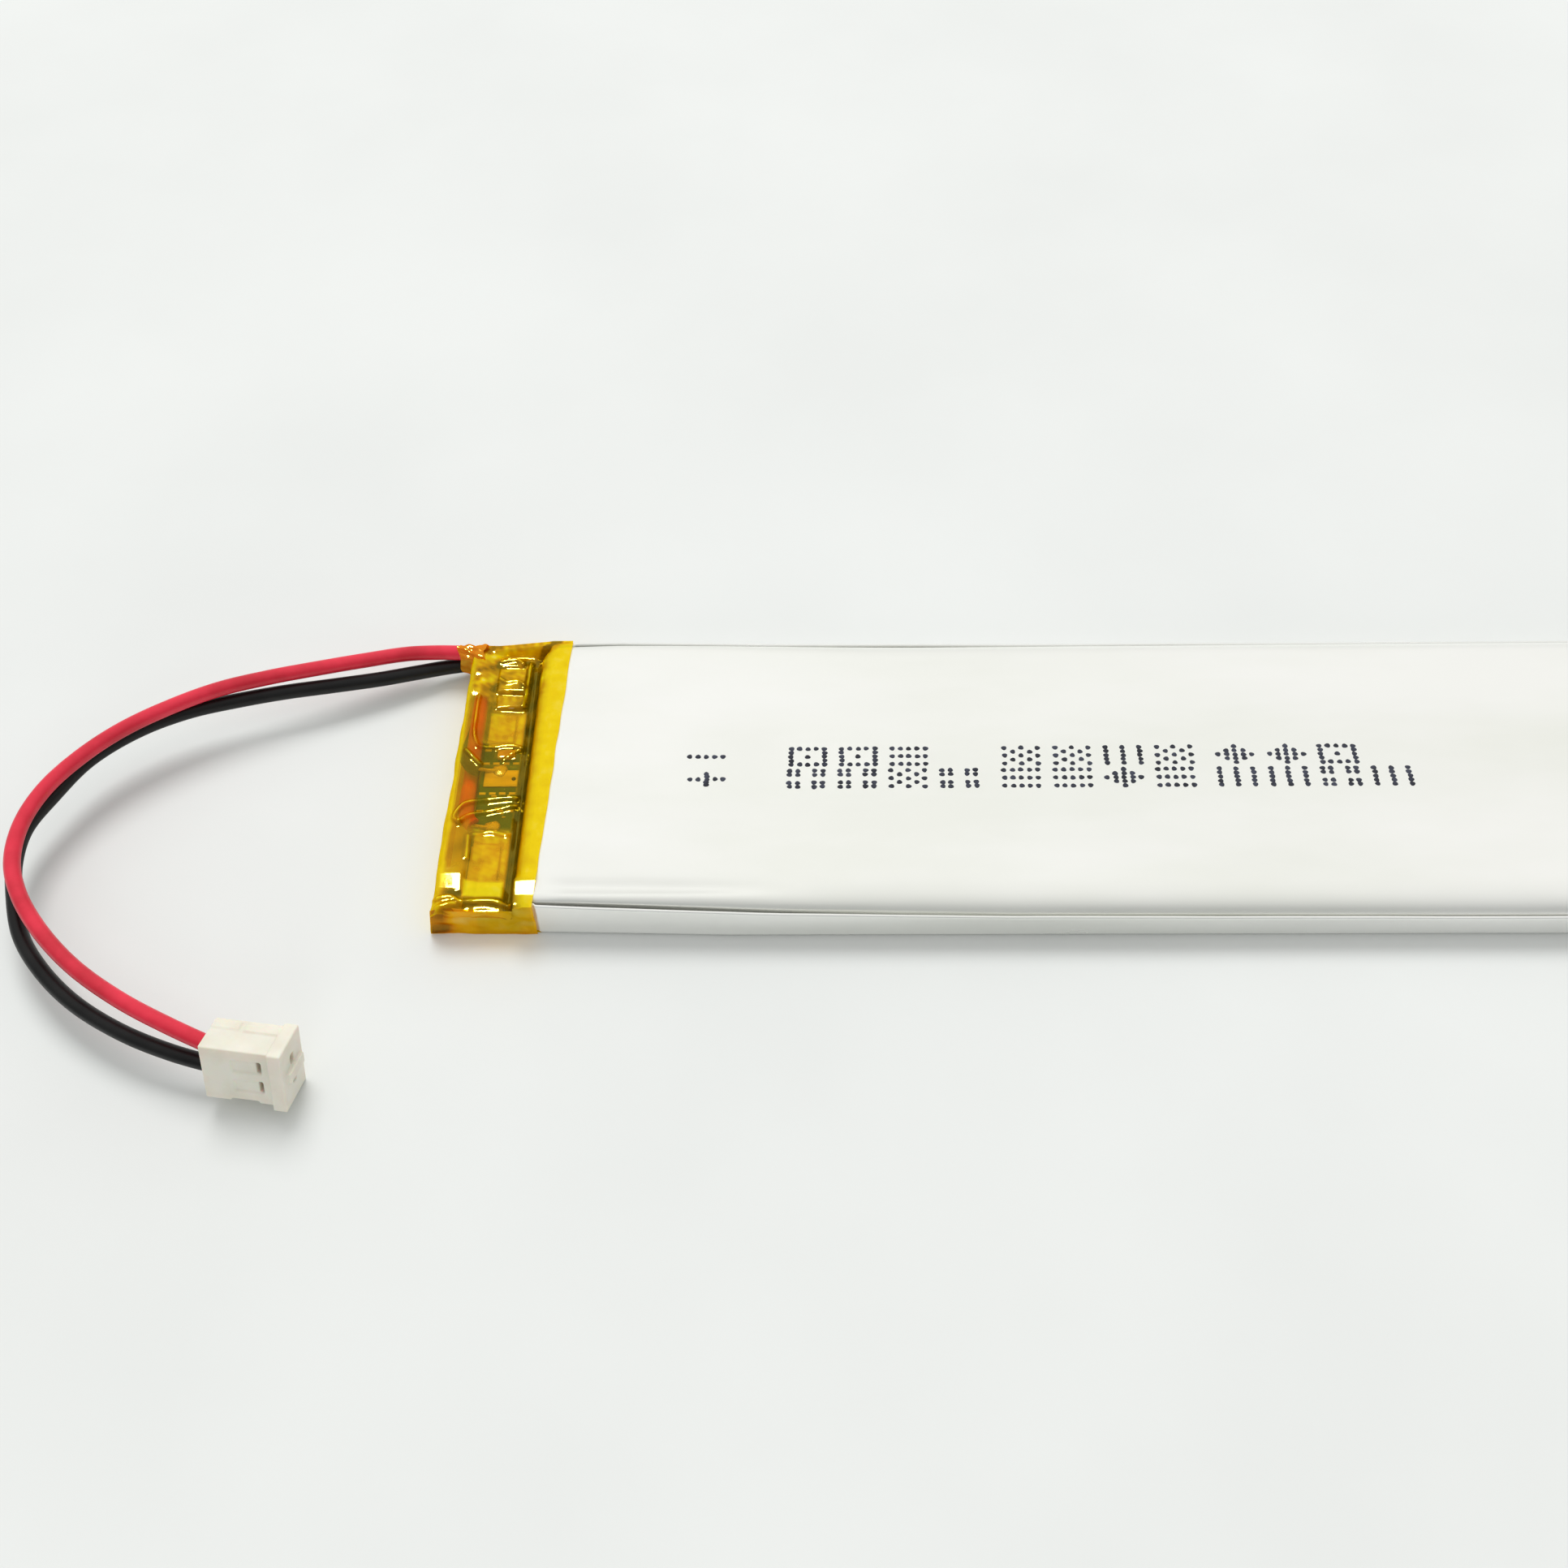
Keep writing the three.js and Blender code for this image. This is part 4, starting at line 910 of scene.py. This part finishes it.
def top_tones(x, y, _):
    """How bright and how dense the amber looks over the head, from painted highlights on pale crease crests
    to painted shade in dark hollows, beside creases and round the parts.
    """
    mottle = waves(x, y, 0.9, 92)
    grain = waves(x, y, 0.35, 93)
    edge = x - corner_shift(y)
    tone = 0.5 + 0.05 * mottle
    cover = np.full(len(x), 0.42)

    def colour(new_tone, new_cover, mask):
        nonlocal tone, cover
        tone, cover = put(tone, new_tone, mask), put(cover, new_cover, mask)

    colour(0.46 + 0.2 * mottle + 0.09 * grain, 0.72, ease(y, 7.4, 9.0))
    colour(0.45, 0.04, soft_rectangle(x, y, (-77.7, -74.2), (-5.6, 3.6)))
    for strip_y in ((3.7, 7.5), (-10.8, -5.6)):
        colour(0.62 + 0.1 * mottle + 0.05 * grain, 0.42, soft_rectangle(x, y, (-77.5, -74.3), strip_y))
    colour(0.74, 0.6, 1 - ease(x, -79.5, -78.9))
    # painted shade over the tape between front edge and board on the near half
    near_front_shade = ease(-y, 5.5, 7.5) * (1 - ease(-y, 9.0, 9.6))
    near_front_shade = near_front_shade * ease(x, -79.6, -79.0) * (1 - ease(x, -77.9, -77.4))
    tone = put(tone, 0.36 + 0.1 * mottle, near_front_shade)
    cover = put(cover, 0.16, soft_rectangle(x, y, (-79.3, -77.75), (-4.8, 8.8)))
    # painted shade round the edges of each part under the tape
    for _, span_x, span_y, *_ in PARTS:
        rim = hump(inside_by(x, y, span_x, span_y), -0.1, 0.13) * (x > -77.9)
        colour(0.22, 0.5, 0.5 * rim)
    # painted shade in the hollow between the board and the cup
    colour(0.08 + 0.05 * mottle, 0.8, ease(edge, -74.3, -74.0) * (1 - ease(edge, -73.2, -72.8)))
    tone = put(tone, 0.79 + 0.012 * mottle, ease(edge, -73.3, -71.9))
    cover = put(cover, 0.6, ease(edge, -73.0, -72.6))
    # painted shade in the hollow at the near front corner
    colour(0.0, 0.85, hump(x, -78.2, 1.0) * hump(y, -12.2, 0.4) * 1.4)
    colour(0.78, 0.7, soft_rectangle(x, y, (-77.6, -74.3), (-12.4, -10.9)))
    patchy = 0.65 + 0.35 * waves(x, y, 0.8, 94)
    for line, _, width in CREASE_LINES:
        away = distance_to(x, y, line)
        # painted shade beside each crease and painted highlight along its crest
        colour(0.12, 0.7, 0.75 * hump(away, 1.1 * width, 0.6 * width) * patchy)
        colour(0.9, 0.6, hump(away, 0, 0.4 * width) * patchy)
    return tone, cover


def end_tones(x, y, z):
    """The folded layers: deep amber with painted shade low down by the table and a painted lighter band near
    the top, uneven, darker at the near side's front end; orange round the leads.
    """
    mottle = waves(x * 0.5, z, 1.0, 95)
    # painted lighter band near the top and painted shade low down by the table
    tone = 0.8 + 0.07 * mottle + 0.06 * ease(z, 2.4, 3.4) - 0.12 * (1 - ease(z, 0.1, 0.7))
    tone = put(tone, 0.42 + 0.24 * mottle, (1 - ease(x, -79.3, -78.0)) * (y < 0))
    return tone, np.full(len(x), 0.55)


def paint(obj, rule):
    """Stores a rule's tone and cover on every vertex, for the tape material."""
    at = np.zeros(3 * len(obj.data.vertices))
    obj.data.vertices.foreach_get("co", at)
    for name, values in zip(("tone", "cover"), rule(*(at.reshape(-1, 3).T / MM))):
        painted = obj.data.attributes.new(name, "FLOAT", "POINT")
        painted.data.foreach_set("value", values.astype(np.float32))


def tape_top_sheet():
    """The cap's front face from the table up, then its top from the front edge to the cup."""
    y = np.linspace(-14.3, 14.86, 230)
    rows = []
    for drop in (1, 0.99, 0.8, 0.6, 0.4, 0.2, 0.08):
        x = front_top(y) + (front_foot(y) - front_top(y)) * drop
        z_top = tape_height(front_top(y) + 0.3, y) - 0.12
        bend = 0.05 * waves(y, 3 * drop + 0 * y, 2.0, 51)
        rows.append(np.stack([x + bend, y, z_top * (1 - drop) + OFF_TABLE], 1))
    for s in np.concatenate([[0.012, 0.03], np.linspace(0.045, 1, 100)]):
        x = front_top(y) + (tape_back(y) - front_top(y)) * s
        rows.append(np.stack([x, y, tape_height(x, y)], 1))
    return np.array(rows)


def tape_side_sheet(side, x0, x1, lift, seed, top_drop=0.0):
    """Tape folded down over one long side, lift off the seal, with folds and crumples."""
    x = np.linspace(x0, x1, 90)
    rows = []
    for share in np.linspace(0, 1, 30):
        top = tape_height(x, np.full(len(x), side * 14.3)) - top_drop
        top = np.minimum(top, np.interp(x, [-80.5, -79.5, -76, -71], [3.1, 3.3, 3.6, 3.9]))
        top = np.maximum(top, np.interp(x, [-80.5, -79.5, -73, -72], [3.0, 3.2, 3.2, 3.8]))
        z = OFF_TABLE + (top - OFF_TABLE) * share
        half = near_wall(x, z) if side < 0 else np.interp(x, *FAR_WALL)
        fold = 0.07 * waves(x * 0.35, z, 1.1, seed) + 0.04 * waves(x, z, 0.8, seed + 1)
        fold = fold * np.clip((1 - np.abs(2 * share - 1)) * 4, 0.25, 1)
        crumple = 0.12 * (1 - ease(x, -79, -76.5)) * waves(x * 0.3, z, 0.7, seed + 2)
        lean = 0.45 * (1 - share) * (1 - ease(x, -80.1, -79.0)) if side < 0 else 0
        rows.append(np.stack([x - lean, side * (half + lift + fold + crumple), z], 1))
    return np.array(rows)


def under_sheet():
    """The cap's part under the cell."""
    x, y = np.meshgrid(np.linspace(-80.2, -71, 24), np.linspace(-14.4, 14.5, 40), indexing="ij")
    return np.stack([x, y, OFF_TABLE + 0.006 * waves(x, y, 3, 61) + 0.01], 2)


def lead_collar():
    """Tape bunched round both leads where they leave the corner."""
    rows = []
    for s in np.linspace(0, 1, 26):
        centre = np.array([-81.1 + 2.6 * s, 14.3 - 0.5 * s, 2.25 + 0.05 * s])
        ring = []
        for a in np.linspace(0, 2 * np.pi, 49):
            fold = 0.16 * math.sin(5 * a + 4 * s) + 0.1 * math.sin(9 * a - 6 * s)
            fold += 0.08 * math.sin(14 * s + 2 * a)
            wide = 0.92 + 0.25 * s + fold * (0.5 + 0.5 * s)
            tall = 1.62 + 0.1 * s + 0.7 * fold
            ring.append(centre + [0.14 * math.sin(3 * a), wide * math.cos(a), tall * math.sin(a)])
        rows.append(ring)
    rows = np.array(rows)
    rows[:, :, 2] = np.maximum(rows[:, :, 2], 0.03)
    return rows


def make_tape():
    back = float(tape_back(np.array([-TAPE_SPAN / 2]))[0])
    cap = sheets("tape_cap", [tape_top_sheet(), under_sheet()], TAPE_TOP, nodes=["head_tape"])
    paint(cap, top_tones)
    near = tape_side_sheet(-1, -80.1, back, 0.05, 71)
    inner = tape_side_sheet(-1, -80.0, -76.3, -0.1, 76, 0.15)
    far = tape_side_sheet(1, -79.8, -70.3, 0.02, 81)
    far_inner = tape_side_sheet(1, -79.7, -76.3, -0.14, 86, 0.15)
    ends = sheets("tape_folded_ends", [near, inner, far, far_inner], TAPE_DEEP, nodes=["end_tape"])
    paint(ends, end_tones)
    paint(sheets("tape_gather", [lead_collar()], TAPE_GATHER), end_tones)


def colour_inside(material, *names):
    """Gives CAD pieces that stay as they are, inside the pouch, a plain material."""
    for name in names:
        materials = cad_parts[name].data.materials
        materials.clear()
        materials.append(material)


make_tape()
colour_inside(DARK_LAYER_AND_HOLE_SHADE, "cathode_strip", "anode_strip")
colour_inside(
    WHITE_PAD, "separator_inner", "separator_outer", "roll_end_tape", "tab_film_positive",
    "tab_film_negative",
)


# ---- table top, light --------------------------------------------------------------------------
SKY_TILT, SKY_STRENGTH = 0.55, 0.87
SKY_DARK, SKY_LIGHT = (0.36, 0.37, 0.37), (1.0, 1.0, 0.985)
LAMPS = (  # name, place, aim, diameter, watts: daylight from behind, weak front light, tape glints
    ("window", (-0.18, 1.0, 1.5), (-0.06, 0, 0), 0.85, 16.5),
    ("fill", (-0.05, -0.8, 0.3), (-0.05, 0, 0), 0.5, 1.1),
    ("glint", (-0.1, 0.02, 0.8), (-0.075, 0, 0), 0.32, 30.0),
)


def make_stage():
    """White paper table top."""
    paper = finish_material(
        "paper", srgb(226, 228, 226), srgb(230, 232, 230), rough=(0.75, 0.85), blotch=25, grain=900,
    )
    mesh = bpy.data.meshes.new("floor")
    half = 3.0
    corners = [(-half, -half, 0), (half, -half, 0), (half, half, 0), (-half, half, 0)]
    mesh.from_pydata(corners, [], [(0, 1, 2, 3)])
    mesh.materials.append(paper)
    floor = bpy.data.objects.new("floor", mesh)
    floor.location.z = -0.02 * MM
    scene.collection.objects.link(floor)


def area_light(name, at, aim, size, power):
    """White disk lamp that looks at a point; metres and watts."""
    data = bpy.data.lights.new(name, "AREA")
    data.shape = "DISK"
    data.size = size
    data.energy = power
    lamp = bpy.data.objects.new(name, data)
    lamp.location = at
    lamp.rotation_euler = (Vector(aim) - Vector(at)).to_track_quat("-Z", "Y").to_euler()
    scene.collection.objects.link(lamp)
    return lamp


def make_world():
    """Plain room, brighter above and behind the cell."""
    world = bpy.data.worlds.new("room")
    world.use_nodes = True
    t = world.node_tree
    coords = t.nodes.new("ShaderNodeTexCoord")
    split = t.nodes.new("ShaderNodeSeparateXYZ")
    t.links.new(coords.outputs["Generated"], split.inputs["Vector"])
    lift = node(t, "ShaderNodeMath", operation="MULTIPLY_ADD")
    t.links.new(split.outputs["Y"], lift.inputs[0])
    lift.inputs[1].default_value = SKY_TILT
    t.links.new(split.outputs["Z"], lift.inputs[2])
    sky = ramp(t, lift.outputs["Value"], 0.12, 1.0, SKY_DARK, SKY_LIGHT)
    t.links.new(sky, t.nodes["Background"].inputs["Color"])
    t.nodes["Background"].inputs["Strength"].default_value = SKY_STRENGTH
    scene.world = world


make_stage()
make_world()
window, fill, glint = (area_light(*lamp) for lamp in LAMPS)
window.visible_glossy = False
fill.visible_glossy = False
glint.visible_diffuse = False
shiny = bpy.data.collections.new("shiny")
for name in ("tape_cap", "tape_folded_ends", "tape_gather"):
    shiny.objects.link(bpy.data.objects[name])
glint.light_linking.receiver_collection = shiny
scene.view_settings.view_transform = "Standard"
scene.view_settings.look = "None"
